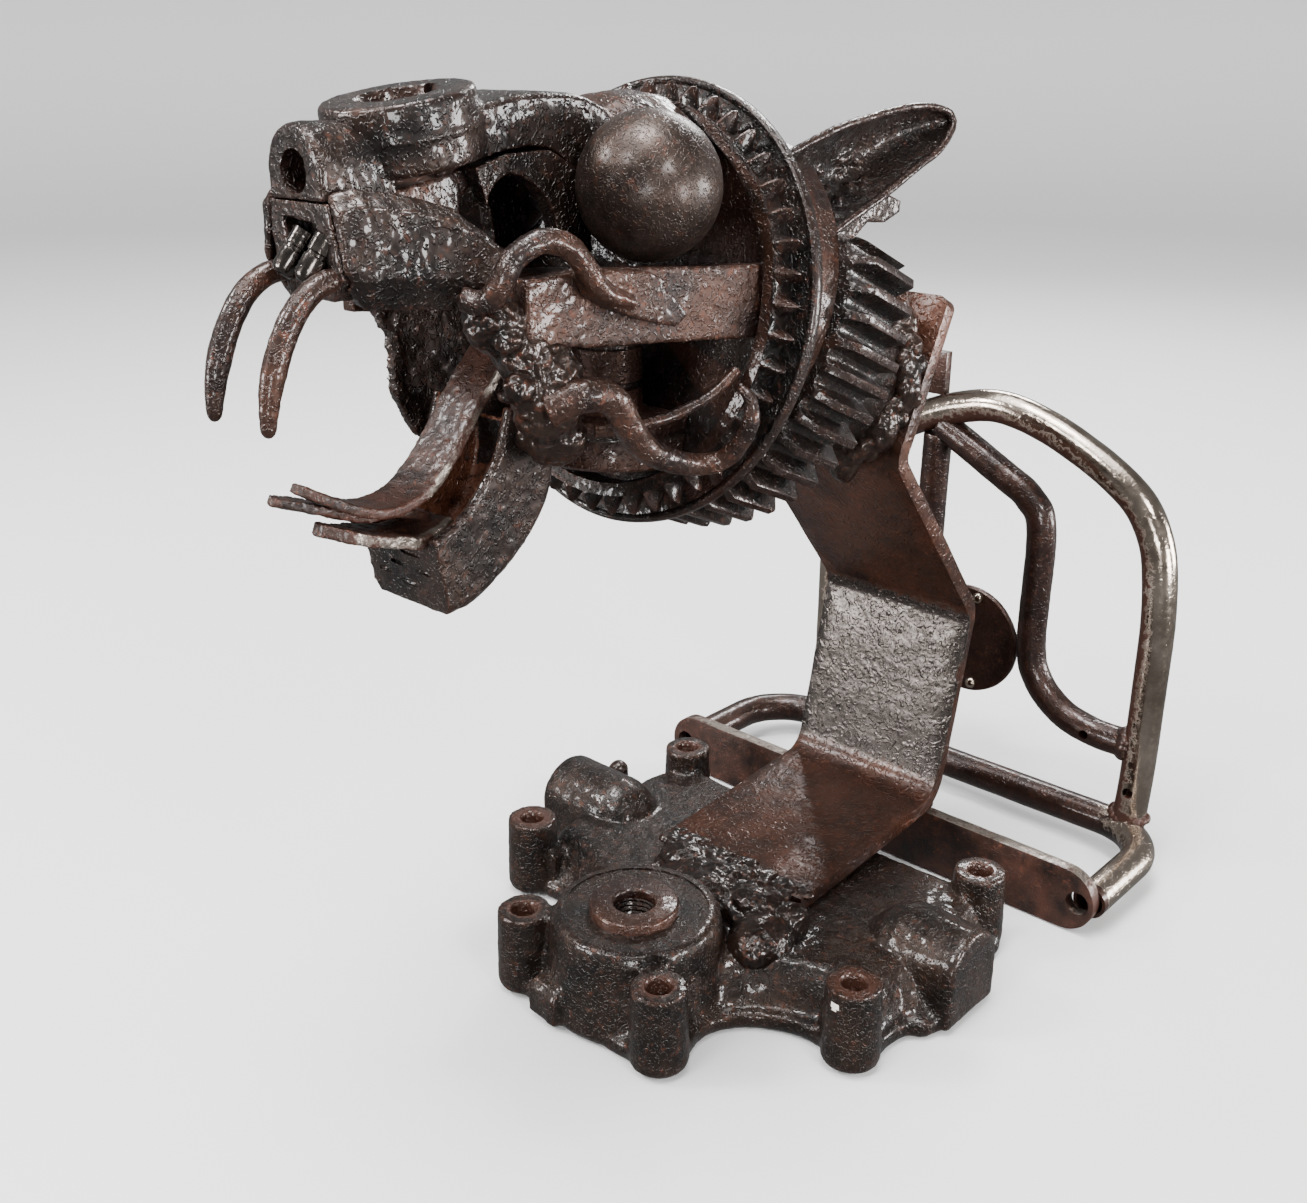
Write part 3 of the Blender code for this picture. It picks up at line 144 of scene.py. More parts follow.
def flat_curve(points, steps, closed=False):
    """The same soft line through points of two numbers each."""
    return [p.xy for p in curve([(a, b, 0) for a, b in points], steps, closed)]


def rounded(corners, radius, steps):
    """A polyline with its inner corners turned into arcs."""
    pts = [Vector(p) for p in corners]
    out = [pts[0]]
    for a, b, c in zip(pts, pts[1:], pts[2:]):
        u, v = (a - b).normalized(), (c - b).normalized()
        half = u.angle(v) / 2
        reach = min(radius / tan(half), 0.45 * min((a - b).length, (c - b).length))
        centre = b + (u + v).normalized() * (reach * tan(half) / sin(half))
        start, end = b + u * reach - centre, b + v * reach - centre
        turn = start.angle(end)
        out += [centre + (start * sin((1 - k / steps) * turn)
                          + end * sin(k / steps * turn)) / sin(turn) for k in range(steps + 1)]
    return out + [pts[-1]]


def rod(points, radii, sides):
    """A round bar along a line, with radii spread evenly along it."""
    pts = [Vector(p) for p in points]
    side = (pts[1] - pts[0]).orthogonal().normalized()
    rings = []
    for i, p in enumerate(pts):
        t = heading(pts, i)
        side = (side - t * side.dot(t)).normalized()
        other = t.cross(side)
        r = spread(radii, i / (len(pts) - 1))
        rings.append([p + (side * cos(a) + other * sin(a)) * r for a in angles(sides)])
    return loft(rings)


def blob(centre, size, turn=0.0):
    """One drop of weld metal, with its three half sizes."""
    bm = bmesh.new()
    bmesh.ops.create_icosphere(bm, subdivisions=3, radius=1.0)
    swell = Matrix.Rotation(turn, 4, "Z") @ Matrix.Diagonal((*size, 1))
    bmesh.ops.transform(bm, matrix=Matrix.Translation(centre) @ swell, verts=bm.verts)
    return bm


def axis_frame(centre, pitch):
    """Local frame whose +Z looks to the muzzle, tipped up by pitch; local +Y points up."""
    forward = Vector((0, -cos(pitch), sin(pitch)))
    up = Vector((0, sin(pitch), cos(pitch)))
    rot = Matrix((up.cross(forward), up, forward)).transposed().to_4x4()
    return Matrix.Translation(centre) @ rot


def facing_back(at):
    """Local frame at a point, whose +Z looks to the back."""
    return Matrix.Translation(at) @ Matrix.Rotation(-pi / 2, 4, "X")


def facing_front(at):
    """Local frame at a point, whose +Z looks to the muzzle."""
    return Matrix.Translation(at) @ Matrix.Rotation(pi / 2, 4, "X")


def side_plate(outline, x_low, x_high):
    """A (y, z) outline extruded between two X values."""
    return loft([[(x_low, y, z) for y, z in outline], [(x_high, y, z) for y, z in outline]])


def front_plate(outline, y_low, y_high):
    """An (x, z) outline extruded between two Y values."""
    return loft([[(x, y_low, z) for x, z in outline], [(x, y_high, z) for x, z in outline]])


def from_node(node):
    """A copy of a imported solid, in the drawing frame."""
    bm = bmesh.new()
    bm.from_mesh(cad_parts[node].data)
    bmesh.ops.transform(bm, matrix=FROM_FRAME, verts=bm.verts)
    bmesh.ops.remove_doubles(bm, verts=bm.verts, dist=0.002)
    bmesh.ops.dissolve_limit(bm, angle_limit=radians(0.5), verts=bm.verts, edges=bm.edges)
    return bm


def mirrored(bm):
    """The same shape on the other side of the mirror plane."""
    other = bm.copy()
    bmesh.ops.transform(other, matrix=Matrix.Diagonal((-1, 1, 1, 1)), verts=other.verts)
    bmesh.ops.reverse_faces(other, faces=other.faces)
    return other


def mesh_object(name, shapes):
    """One object from one shape or from several laid over each other."""
    shapes = shapes if isinstance(shapes, list) else [shapes]
    whole = bmesh.new()
    for bm in shapes:
        part = bpy.data.meshes.new("part")
        bm.to_mesh(part)
        bm.free()
        whole.from_mesh(part)
        bpy.data.meshes.remove(part)
    mesh = bpy.data.meshes.new(name)
    whole.to_mesh(mesh)
    whole.free()
    obj = bpy.data.objects.new(name, mesh)
    bpy.context.scene.collection.objects.link(obj)
    return obj


def settle(obj):
    """Turn what the modifiers give into the object's own mesh."""
    graph = bpy.context.evaluated_depsgraph_get()
    mesh = bpy.data.meshes.new_from_object(obj.evaluated_get(graph))
    obj.modifiers.clear()
    obj.data = mesh
    return obj


def roughen(obj, depth, size, seed):
    """Push the surface in and out by depth, in hollows about as wide as size."""
    offset = Vector((seed * 7.3, seed * 3.1, -seed * 5.7))
    normals = [v.normal.copy() for v in obj.data.vertices]
    for vert, normal in zip(obj.data.vertices, normals):
        vert.co += normal * (depth * noise.fractal(vert.co / size + offset, 0.7, 2.1, 3))
    return obj


def melt(name, shapes, voxel, rounds, depth, size, seed):
    """Run overlapping shapes into one body with soft corners, as a casting or a weld has.

    voxel is the grid in mm, rounds how often it is softened; the rest goes to roughen().
    """
    obj = mesh_object(name, shapes)
    remesh = obj.modifiers.new("Run together", "REMESH")
    remesh.mode = "VOXEL"
    remesh.voxel_size = voxel
    soften = obj.modifiers.new("Soften", "SMOOTH")
    soften.factor = 0.5
    soften.iterations = rounds
    return roughen(settle(obj), depth, size, seed)


def forged(name, node, voxel, rounds, depth, size, seed, extra=()):
    """A forged or torch-cut piece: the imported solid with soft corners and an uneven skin."""
    return melt(name, [from_node(node), *extra], voxel, rounds, depth, size, seed)


def cut(obj, shapes, operation="DIFFERENCE"):
    """Drill, mill or saw shapes out of an object."""
    tools = [mesh_object("tool", bm) for bm in shapes]
    for tool in tools:
        mod = obj.modifiers.new("Cut", "BOOLEAN")
        mod.operation = operation
        mod.solver = "MANIFOLD"
        mod.object = tool
    settle(obj)
    for tool in tools:
        bpy.data.objects.remove(tool)
    return obj


def ease(obj, width, segments=3, angle=40.0):
    """Round the sharp edges over, as years of handling and lacquer do."""
    mod = obj.modifiers.new("Eased edges", "BEVEL")
    mod.width = width
    mod.segments = segments
    mod.limit_method = "ANGLE"
    mod.angle_limit = radians(angle)
    return settle(obj)


def slice_up(obj, axis, spacing):
    """Cut long faces every few millimetres, so that relief and wear have points to lie on."""
    bm = bmesh.new()
    bm.from_mesh(obj.data)
    low = min(v.co[axis] for v in bm.verts)
    high = max(v.co[axis] for v in bm.verts)
    normal = Vector([k == axis for k in range(3)])
    for k in range(1, int((high - low) / spacing)):
        bmesh.ops.bisect_plane(bm, geom=bm.verts[:] + bm.edges[:] + bm.faces[:],
                               plane_co=normal * (low + k * spacing), plane_no=normal)
    bm.to_mesh(obj.data)
    bm.free()


def paint(obj, share):
    """Store how far a second finish covers the surface, from a function of place and normal."""
    values = obj.data.attributes.new("wear_and_light", "FLOAT", "POINT")
    for k, vert in enumerate(obj.data.vertices):
        values.data[k].value = min(max(share(vert.co, vert.normal), 0.0), 1.0)
    return obj


def publish(obj, node, look, crisp=35.0):
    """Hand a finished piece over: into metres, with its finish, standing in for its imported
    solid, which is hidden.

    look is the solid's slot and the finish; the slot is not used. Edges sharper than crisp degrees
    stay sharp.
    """
    slot, finish_name = look
    obj.data.transform(TO_FRAME)
    obj.data.materials.clear()
    obj.data.materials.append(bpy.data.materials[finish_name])
    obj.data.shade_smooth()
    obj.data.set_sharp_from_angle(angle=radians(crisp))
    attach(obj, "root")
    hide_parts(node)
    return obj


def draws(seed):
    """A source of repeatable random sizes."""
    return random.Random(seed)


# Finishes

def linear(hex_colour):
    """An sRGB hex colour as linear red, green and blue."""
    parts = [int(hex_colour[k:k + 2], 16) / 255 for k in (1, 3, 5)]
    return tuple(c / 12.92 if c <= 0.04045 else ((c + 0.055) / 1.055) ** 2.4 for c in parts)


def add(tree, kind, inputs=None, **settings):
    """Add one node with its settings, and set or link its inputs by name or number."""
    node = tree.nodes.new(kind)
    for key, value in settings.items():
        setattr(node, key, value)
    for key, value in (inputs or {}).items():
        if isinstance(value, bpy.types.NodeSocket):
            tree.links.new(value, node.inputs[key])
        else:
            node.inputs[key].default_value = value
    return node


def per_mm(size):
    """Texture scale at which one feature is about size millimetres wide."""
    return 1000.0 / size


def finish(name, dark, body, rust, grain, relief, patch=16.0, metallic=0.6, rough=(0.32, 0.5),
           rusty=0.5, edges=0.5, extra_finish_and_light=None, coat=0.6, coat_rough=0.08):
    """Metal under clear lacquer: dark and body colour in patches, rust in flecks and on edges.

    grain is the width in mm of the crinkle that breaks up every highlight, relief its depth.
    worn is a second finish (colour, roughness, metallic) laid where the mesh says "wear":
    bare metal and rust on most pieces, painted shade on the nickel arch, painted sheen on the
    bent bar and, in part, painted highlight on the ground loop.
    """
    mat = bpy.data.materials.new(name)
    mat.use_nodes = True
    tree = mat.node_tree
    shader = tree.nodes["Principled BSDF"]
    place = add(tree, "ShaderNodeTexCoord").outputs["Object"]
    noises = {}
    for key, size, detail, blend, twist in (("clouds", patch, 5.0, 0.62, 0.0),
                                            ("flecks", 2.6, 4.0, 0.7, 0.0),
                                            ("crinkle", grain, 0.5, 0.5, 2.0),
                                            ("swell", 5.5, 2.0, 0.5, 0.0)):
        noises[key] = add(tree, "ShaderNodeTexNoise",
                          {"Vector": place, "Scale": per_mm(size), "Detail": detail,
                           "Roughness": blend, "Distortion": twist}).outputs[0]
    flecks = noises["flecks"]
    # the lacquer stands in worm-like ridges, narrow beside the flats between them
    ridges = add(tree, "ShaderNodeMapRange", {"Value": noises["crinkle"], "From Min": 0.50,
                                              "From Max": 0.66}, interpolation_type="SMOOTHSTEP")
    pointed = add(tree, "ShaderNodeNewGeometry").outputs["Pointiness"]
    ranges = {}
    for key, value, low, high, start, end in (("patches", noises["clouds"], 0.38, 0.62, 0.0, 1.0),
                                              ("spots", flecks, 0.56, 0.70, 0.0, rusty),
                                              ("rims", pointed, 0.515, 0.58, 0.0, edges),
                                              ("gloss", flecks, 0.35, 0.7, *rough)):
        ranges[key] = add(tree, "ShaderNodeMapRange",
                          {"Value": value, "From Min": low, "From Max": high, "To Min": start,
                           "To Max": end}).outputs[0]
    gloss = ranges["gloss"]
    tone = add(tree, "ShaderNodeMix", {0: ranges["patches"], 6: (*dark, 1.0), 7: (*body, 1.0)},
               data_type="RGBA")
    rim_spots = add(tree, "ShaderNodeMath", {0: ranges["rims"], 1: flecks},
                    operation="MULTIPLY")
    rusting = add(tree, "ShaderNodeMath", {0: ranges["spots"], 1: rim_spots.outputs[0]},
                  operation="MAXIMUM", use_clamp=True)
    colour = add(tree, "ShaderNodeMix", {0: rusting.outputs[0], 6: tone.outputs[2],
                                         7: (*rust, 1.0)}, data_type="RGBA").outputs[2]
    if extra_finish_and_light:
        extra_colour_and_light, extra_roughness, extra_metallic = extra_finish_and_light
        share = add(tree, "ShaderNodeAttribute", attribute_name="wear_and_light")
        ragged = add(tree, "ShaderNodeMath", {0: share.outputs["Fac"], 1: flecks},
                     operation="ADD")
        mask = add(tree, "ShaderNodeMapRange", {"Value": ragged.outputs[0], "From Min": 0.92,
                                                "From Max": 1.12}).outputs[0]
        colour = add(tree, "ShaderNodeMix", {0: mask, 6: colour, 7: (*extra_colour_and_light, 1.0)},
                     data_type="RGBA").outputs[2]
        gloss = add(tree, "ShaderNodeMix", {0: mask, 2: gloss, 3: extra_roughness}).outputs[0]
        metal = add(tree, "ShaderNodeMix", {0: mask, 2: metallic, 3: extra_metallic}).outputs[0]
        tree.links.new(metal, shader.inputs["Metallic"])
    else:
        shader.inputs["Metallic"].default_value = metallic
    fine = add(tree, "ShaderNodeBump", {"Height": ridges.outputs[0], "Strength": 1.0,
                                        "Distance": relief * 0.001})
    broad = add(tree, "ShaderNodeBump", {"Height": noises["swell"], "Strength": 1.0,
                                         "Distance": relief * 0.002, "Normal": fine.outputs[0]})
    tree.links.new(colour, shader.inputs["Base Color"])
    tree.links.new(gloss, shader.inputs["Roughness"])
    tree.links.new(broad.outputs[0], shader.inputs["Normal"])
    tree.links.new(broad.outputs[0], shader.inputs["Coat Normal"])
    shader.inputs["Coat Weight"].default_value = coat
    shader.inputs["Coat Roughness"].default_value = coat_rough


def make_finishes(colours):
    """Every finish, named for the metal and what was done to it."""
    # sand-cast grey iron, burnt brown and lacquered: fine grain, glossy hollows
    finish("lacquered_cast_iron", colours.iron_dark, colours.iron, colours.rust, 1.9, 0.22,
           rusty=0.4, edges=0.35, extra_finish_and_light=(linear("#43261a"), 0.42, 0.4))
    # hot-rolled flat bar, rusted evenly and lacquered; grey metal painted on the front of its
    # lower leg as sheen
    finish("lacquered_rusted_bar", colours.bar_dark, colours.bar, colours.rust, 3.4, 0.13,
           patch=22.0, rusty=0.6, edges=0.3, extra_finish_and_light=(linear("#554e4a"), 0.27, 0.95), coat=0.4,
           coat_rough=0.2)
    # carburised gear steel: near black, with rust creeping from the tooth edges
    finish("lacquered_gear_steel", colours.gear_dark, colours.gear, colours.rust, 1.8, 0.16,
           rusty=0.35, edges=0.3)
    # drop-forged levers: coarse crinkled scale under the lacquer
    finish("lacquered_forging", colours.forging_dark, colours.forging, colours.rust, 2.1, 0.28,
           rusty=0.30, edges=0.5, extra_finish_and_light=(linear("#6e412b"), 0.5, 0.1))
    # mild steel rods and plates, browner than the gears
    finish("lacquered_brown_steel", colours.steel_dark, colours.steel, colours.rust, 1.9, 0.16,
           rusty=0.5, edges=0.35)
    # thin spring steel straps: bright rust in the middle, rubbed bare along their edges
    finish("lacquered_strap_steel", linear("#241712"), linear("#452a20"), colours.rust, 2.2, 0.08,
           patch=12.0, metallic=0.25, rough=(0.42, 0.6), rusty=0.6, edges=0.3,
           extra_finish_and_light=(linear("#8d837a"), 0.3, 0.9), coat=0.25, coat_rough=0.14)
    # thin drawn tube whose plating is gone, with plated patches left, laid heavier as painted
    # highlight where the ground loop faces up and to the right
    finish("rusted_drawn_tube", colours.tube_dark, colours.tube, colours.rust, 2.2, 0.06,
           rusty=0.3, edges=0.2, extra_finish_and_light=(linear("#b0a294"), 0.24, 1.0), coat=0.5)
    # dull nickel plating on drawn tube, broken by rust; its dark rust-brown is also painted shade
    # on the arch's inner side
    finish("worn_nickel_plating", linear("#9b8d80"), linear("#cbbdaf"), colours.rust, 3.0, 0.02,
           patch=20.0, metallic=1.0, rough=(0.12, 0.26), rusty=0.12, edges=0.0, coat=0.2,
           extra_finish_and_light=(linear("#3e241b"), 0.45, 0.4))
    # bolt stubs sawn off and polished by handling: dark grey, sharp highlights
    finish("ground_bolt_steel", linear("#37322f"), linear("#6a635e"), colours.rust, 3.5, 0.03,
           metallic=1.0, rough=(0.16, 0.28), rusty=0.15, edges=0.0)
    # ground steel ball, browned all over: satin, hardly any relief
    finish("browned_steel_ball", colours.ball_dark, colours.ball, colours.rust, 1.5, 0.10,
           patch=22.0, rusty=0.3, edges=0.0, metallic=0.8, rough=(0.36, 0.48), coat=0.35,
           coat_rough=0.22)
    # arc weld metal: smooth frozen drops, very glossy
    finish("lacquered_weld_metal", colours.weld_dark, colours.weld, colours.rust, 2.8, 0.05,
           rusty=0.55, edges=0.5, rough=(0.28, 0.44), coat=0.55, coat_rough=0.08)
    # a drop of wall paint that fell on the cover
    paint_drop = bpy.data.materials.new("white_paint_drop")
    paint_drop.use_nodes = True
    skin = paint_drop.node_tree.nodes["Principled BSDF"]
    skin.inputs["Base Color"].default_value = (*linear("#d8d2c8"), 1.0)
    skin.inputs["Roughness"].default_value = 0.45


# Looks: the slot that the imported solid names, and the finish laid on it
CAST_IRON = ("cast_cover", "lacquered_cast_iron")
WASHER_STEEL = ("cast_cover", "lacquered_brown_steel")
WELD = ("weld_bead", "lacquered_weld_metal")
RUSTED_BAR = ("rusted_bar", "lacquered_rusted_bar")
RUBBED_STRIP = ("rusted_bar", "lacquered_strap_steel")
BROWN_TUBE = ("brown_tube", "rusted_drawn_tube")
NICKEL = ("worn_nickel", "worn_nickel_plating")
BOLT_STEEL = ("worn_nickel", "ground_bolt_steel")
GEAR_STEEL = ("dark_gear", "lacquered_gear_steel")
FORGING = ("dark_gear", "lacquered_forging")
BROWN_STEEL = ("brown_steel", "lacquered_brown_steel")
THIN_STRAP = ("brown_steel", "lacquered_strap_steel")
TURNED_FORGING = ("brown_steel", "lacquered_forging")
BALL_STEEL = ("bronze_ball", "browned_steel_ball")

SIDES = (("L", 1, "left"), ("R", -1, "right"))   # the solids' mark, sign of X, word in names


# Cast cover

# Half outlines of the flange and of the deck above it, with X above zero, in mm
FLANGE_HALF = ((22, -44), (31, -41), (37, -32), (34.5, -22), (35.5, -13), (41, -5.5), (48, -0.5),
               (57, 3), (68, 3), (80, 9), (80.5, 18), (82, 27), (88, 34), (88, 66), (82, 72),
               (80, 80), (79.5, 89), (70, 97.5), (57, 97), (40, 94))
DECK_HALF = ((18, -34), (26, -33), (28, -27), (26, -18), (27, -8), (32, 2), (42, 9.5), (54, 15),
             (63, 17), (71, 20), (72, 25), (73, 32), (74, 38), (74, 62), (74, 70), (72, 79),
             (68, 86), (61, 88), (52, 88), (38, 87))
POCKET_HALF = ((15, -34), (19, -12), (26, 6), (34, 18), (60, 24), (64, 40), (64, 74), (54, 82))
SIDE_BOSS, FRONT_BOSS, BACK_BOSS = (74.0, 6.0), (31.0, -37.0), (69.2, 89.0)
BOSSES = (SIDE_BOSS, FRONT_BOSS, BACK_BOSS)
BOSS_TOP = 30.5
BOSS_PROFILE = ((0, 0.2), (5.4, 0.2), (9.3, 2.4), (9.7, 4.5), (9.4, 18), (9.0, BOSS_TOP),
                (0, BOSS_TOP))
HUB = Vector((0.0, -14.5, 0.0))
HUB_TOP = 34.0
HUB_PROFILE = ((0, 1), (31, 1), (33, 4), (32.4, 9), (31, 15), (29.4, 22), (28.6, 30), (27.6, 33),
               (26.5, HUB_TOP), (0, HUB_TOP))
WASHER_AT = Vector((0.0, -15.6, 0.0))
# Wall: height, share of the way from flange to deck, how far the foot is drawn in
WALL_LEVELS = ((0.0, 0.0, 2.6), (1.2, 0.0, 0.8), (3.0, 0.0, 0.0), (6.4, 0.0, 0.0),
               (7.0, 0.10, 0.0), (7.6, 0.30, 0.0), (10.0, 0.44, 0.0), (14.0, 0.62, 0.0),
               (18.0, 0.84, 0.0), (20.6, 1.0, 0.0), (22.0, 1.16, 0.0))
HUMPS = ((1, 91.0, 50.5), (-1, 96.5, 46.0))   # side, outer end, centre Y
HUMP_RADIUS = 14.5
HUMP_AXIS = 18.5
LUG_RINGS = (((-18, -48, 2), (-4, -49.5, 2), (-4, -43, 2), (-18, -43, 2)),
             ((-18, -48, 12), (-4, -49.5, 12), (-4, -43, 12), (-18, -43, 12)),
             ((-17, -46, 15), (-5, -47, 15), (-5, -40, 15), (-17, -40, 15)))
PEG_AT = (-89, 68, 0)


def whole_outline(half):
    """Both sides of a half outline as one closed line."""
    return list(half) + [(-x, y) for x, y in reversed(half)]


def thread_cutter(radius, low, high, at, pitch=1.9, depth=0.75):
    """The inside of a coarse thread: a round bar whose wall rises and falls along a helix."""
    steps, sides = 150, 60
    rings = []
    for k in range(steps + 1):
        z = low + (high - low) * k / steps
        ring = []
        for n, a in enumerate(angles(sides)):
            wave = abs(((z / pitch - n / sides) % 1.0) * 2 - 1)
            r = radius - depth * wave
            ring.append((at[0] + r * cos(a), at[1] + r * sin(a), z))
        rings.append(ring)
    return loft(rings)


def cover_wall():
    """Flange, soft wall and deck in one body."""
    rim, deck = (flat_curve(whole_outline(half), 5, True) for half in (FLANGE_HALF, DECK_HALF))
    rings = []
    for z, share, toe in WALL_LEVELS:
        ring = []
        for (a, b), (c, d) in zip(rim, deck):
            x, y = a + (c - a) * share, b + (d - b) * share
            inward = Vector((c - a, d - b, 0)).normalized() * toe
            ring.append((x + inward.x, y + inward.y, z))
        rings.append(ring)
    return loft(rings)


def hump(side, end, centre):
    """A half-round bulge that grows out of the deck and ends in a flat face."""
    arc = [(centre + HUMP_RADIUS, 2)]
    arc += [(centre + HUMP_RADIUS * cos(pi * k / 28), HUMP_AXIS + HUMP_RADIUS * sin(pi * k / 28))
            for k in range(29)]
    arc += [(centre - HUMP_RADIUS, 2)]
    return loft([[(side * x, centre + (y - centre) * s, z * s) for y, z in arc]
                 for x, s in ((end, 0.95), (end - 0.8, 0.985), (end - 2, 1.0), (66, 1.0),
                              (60, 0.93), (55, 0.8), (51, 0.6))])


def boss(x, y):
    """A boss with a swollen foot, and the web that ties it to the wall."""
    foot = Vector((x, y, 0))
    inward = Vector((-x, 30 - y, 0)).normalized()
    web = []
    for reach, half, top in ((3, 5.0, 25), (12, 4.0, 17)):
        p = foot + inward * reach
        web.append([(p.x - n * inward.y * half, p.y + n * inward.x * half, z)
                    for n, z in ((1, 4), (-1, 4), (-1, top), (1, top))])
    return [lathe(BOSS_PROFILE, 40, Matrix.Translation(foot)), loft(web)]


def cover_cuts():
    """The thread, the hollow underside, the drilled holes, and the faced bosses and hub."""
    cuts = [thread_cutter(7.35, 14.5, 36.0, WASHER_AT),
            loft([[(x, y, z) for x, y in whole_outline(POCKET_HALF)] for z in (-2.0, 12.0)])]
    hole = ((0, 16.5), (4.2, 16.5), (4.2, BOSS_TOP - 0.7), (5.0, BOSS_TOP + 0.2), (5.0, 40),
            (0, 40))
    for side in (1, -1):
        cuts += [lathe(hole, 40, Matrix.Translation((side * x, y, 0))) for x, y in BOSSES]
        for (x, y), radius, level, top, sides in (
                (FRONT_BOSS, 11.5, BOSS_TOP, 42, 64), (SIDE_BOSS, 8.3, BOSS_TOP - 0.15, 40, 40)):
            cuts.append(plain_bar(radius, level, top, sides,
                                  Matrix.Translation((side * x, y, 0))))
    groove = ((14.9, HUB_TOP - 0.5), (24.6, HUB_TOP - 0.5), (24.6, 44), (14.9, 44))
    cuts.append(lathe(groove, 96, Matrix.Translation(WASHER_AT + Vector((0, 0.6, 0)))))
    return cuts


def cast_cover(sizes):
    """The cover: flange, soft wall, deck, bosses, humps, spot faces and drilled holes."""
    shapes = [cover_wall(), lathe(HUB_PROFILE, 96, Matrix.Translation(HUB))]
    for side, end, centre in HUMPS:
        shapes.append(hump(side, end, centre))
        for x, y in BOSSES:
            shapes += boss(side * x, y)
    shapes.append(loft(LUG_RINGS))
    peg = Matrix.Translation(PEG_AT)
    shapes.append(plain_bar(4.2, 4, 21.5, 40, peg))
    shapes.append(lathe([(0, 18), (4.2, 18), (3.8, 22.6), (2.2, 24.4), (0, 24.9)], 32, peg))
    cover = melt("Cast_cover", shapes, sizes.casting_detail * 1000, 4, 0.16, 5.0, 3)
    cut(cover, cover_cuts())
    for vert in cover.data.vertices:
        vert.co.z = max(vert.co.z, 0.0)

    def bare(place, normal):
        """Bare rust inside each drilled boss and round its rim."""
        for side in (1, -1):
            for x, y in BOSSES:
                away = (place.xy - Vector((side * x, y))).length
                if away < 5.6 and place.z > 14:
                    return 0.7
                if away < 9.6 and place.z > BOSS_TOP - 1.0:
                    return 0.42
        return 0.0

    return paint(cover, bare)


PAINT_DROP = Vector((73.2, -3.0, 25.7))   # on the front of a side boss, in mm
PAINT_RADIUS = 0.0016   # in metres, as the published mesh is


def drip_paint(cover):
    """Give the published cover's faces round one spot the paint's own material."""
    cover.data.materials.append(bpy.data.materials["white_paint_drop"])
    spot = TO_FRAME @ PAINT_DROP
    for face in cover.data.polygons:
        if (face.center - spot).length < PAINT_RADIUS:
            face.material_index = 1


def thread_washer():
    """The turned washer round the threaded hole, with a chamfered rim."""
    low = HUB_TOP - 0.6
    profile = ((6.9, low), (15.0, low), (15.0, 36.3), (14.6, 36.9), (14.2, 37.1), (7.7, 37.1),
               (7.1, 36.6), (6.9, 36.0))
    return mesh_object("Thread_washer", lathe(profile, 72, Matrix.Translation(WASHER_AT)))


def base_weld(draw):
    """The run of weld that buries the bar's lower edge: broad drops with fine ones on top."""
    shapes = [blob(c, s) for c, s in (((6, 27, 22), (31, 14, 8)), ((31, 14, 21), (11, 14, 8.5)),
                                      ((-18, 31, 22), (12, 9, 8)), ((20, 24, 25), (14, 8, 6.5)),
                                      ((2, 20, 25), (11, 8, 6)), ((33, 26, 22), (6, 9, 8)))]
    for _ in range(110):
        x = draw.uniform(-28, 37)
        y = draw.uniform(16, 36) - 0.22 * max(x, 0)
        top = 30.5 - 0.012 * (x - 6) ** 2 - 0.03 * (y - 28) ** 2
        r = draw.uniform(1.3, 3.4)
        shapes.append(blob((x, y, max(top - r * 0.4, 21)),
                           (r, r * draw.uniform(0.8, 1.3), r * 0.8), draw.uniform(0, pi)))
    for _ in range(90):   # splashed up over the end of the bar, so that its edge is lost
        x, y = draw.uniform(-32, 32), draw.uniform(32.5, 41)
        r = draw.uniform(1.5, 2.8)
        shapes.append(blob((x, y, 27.4 + 0.085 * (y - 34) - 0.1 * (y - 33)),
                           (r * 1.2, r, r * 0.7), draw.uniform(0, pi)))
    return melt("Base_weld", shapes, 0.65, 2, 0.4, 2.4, 5)


# Bent bar and rack

GEAR_AXIS = axis_frame((0.0, 29.5, 221.15), radians(24.0))
BAR_FRONT = ((34.0, 27.9), (115.5, 34.8), (131.3, 105.0), (75.5, 173.5), (101.0, 225.5))
BAR_WIDTH = 64.0
BAR_THICK = 5.5


def neck_bar():
    """The flat bar bent four times, with rounded top corners."""
    line = [p.xy for p in rounded([Vector((y, z, 0)) for y, z in BAR_FRONT], 9.0, 16)]
    front, back = [], []
    for i, p in enumerate(line):
        t = heading(line, i)
        front.append(p)
        back.append(p + Vector((t.y, -t.x)) * BAR_THICK)
    half = BAR_WIDTH / 2
    bar = mesh_object("Neck_bar", side_plate([tuple(p) for p in front + back[::-1]], -half, half))
    rise = (line[-1] - line[-2]).normalized()
    out = Vector((rise.y, -rise.x))
    corners = []
    for side in (1, -1):
        flat = [(half + 2, 2), (half - 4, 2)]
        flat += [(half - 4 + 4 * sin(pi * k / 20), -4 + 4 * cos(pi * k / 20)) for k in range(11)]
        flat += [(half + 2, -4)]
        rings = []
        for depth in (-3, BAR_THICK + 3):
            rings.append([(side * x, *(line[-1] + rise * up + out * depth)) for x, up in flat])
        corners.append(loft(rings))
    cut(bar, corners)
    ease(bar, 0.9)
    for axis in (2, 0):
        slice_up(bar, axis, 5.0)

    def wear_and_sheen(place, normal):
        """Painted sheen: grey metal on the front face of the lower upright leg, fading over a few
        millimetres at its bends.
        """
        climb = min((place.z - 33) / 14, (112 - place.z) / 12)
        # painted sheen: only faces that look to the front get the grey
        return min(max(climb, 0), 1) * (normal.y < 0)

    return paint(roughen(bar, 0.22, 14.0, 4), wear_and_sheen)


CONE_END = 29.0     # radius at the back of the cone
CONE_BACK = -58.0   # how far the cone's end lies behind the gear, along its axis


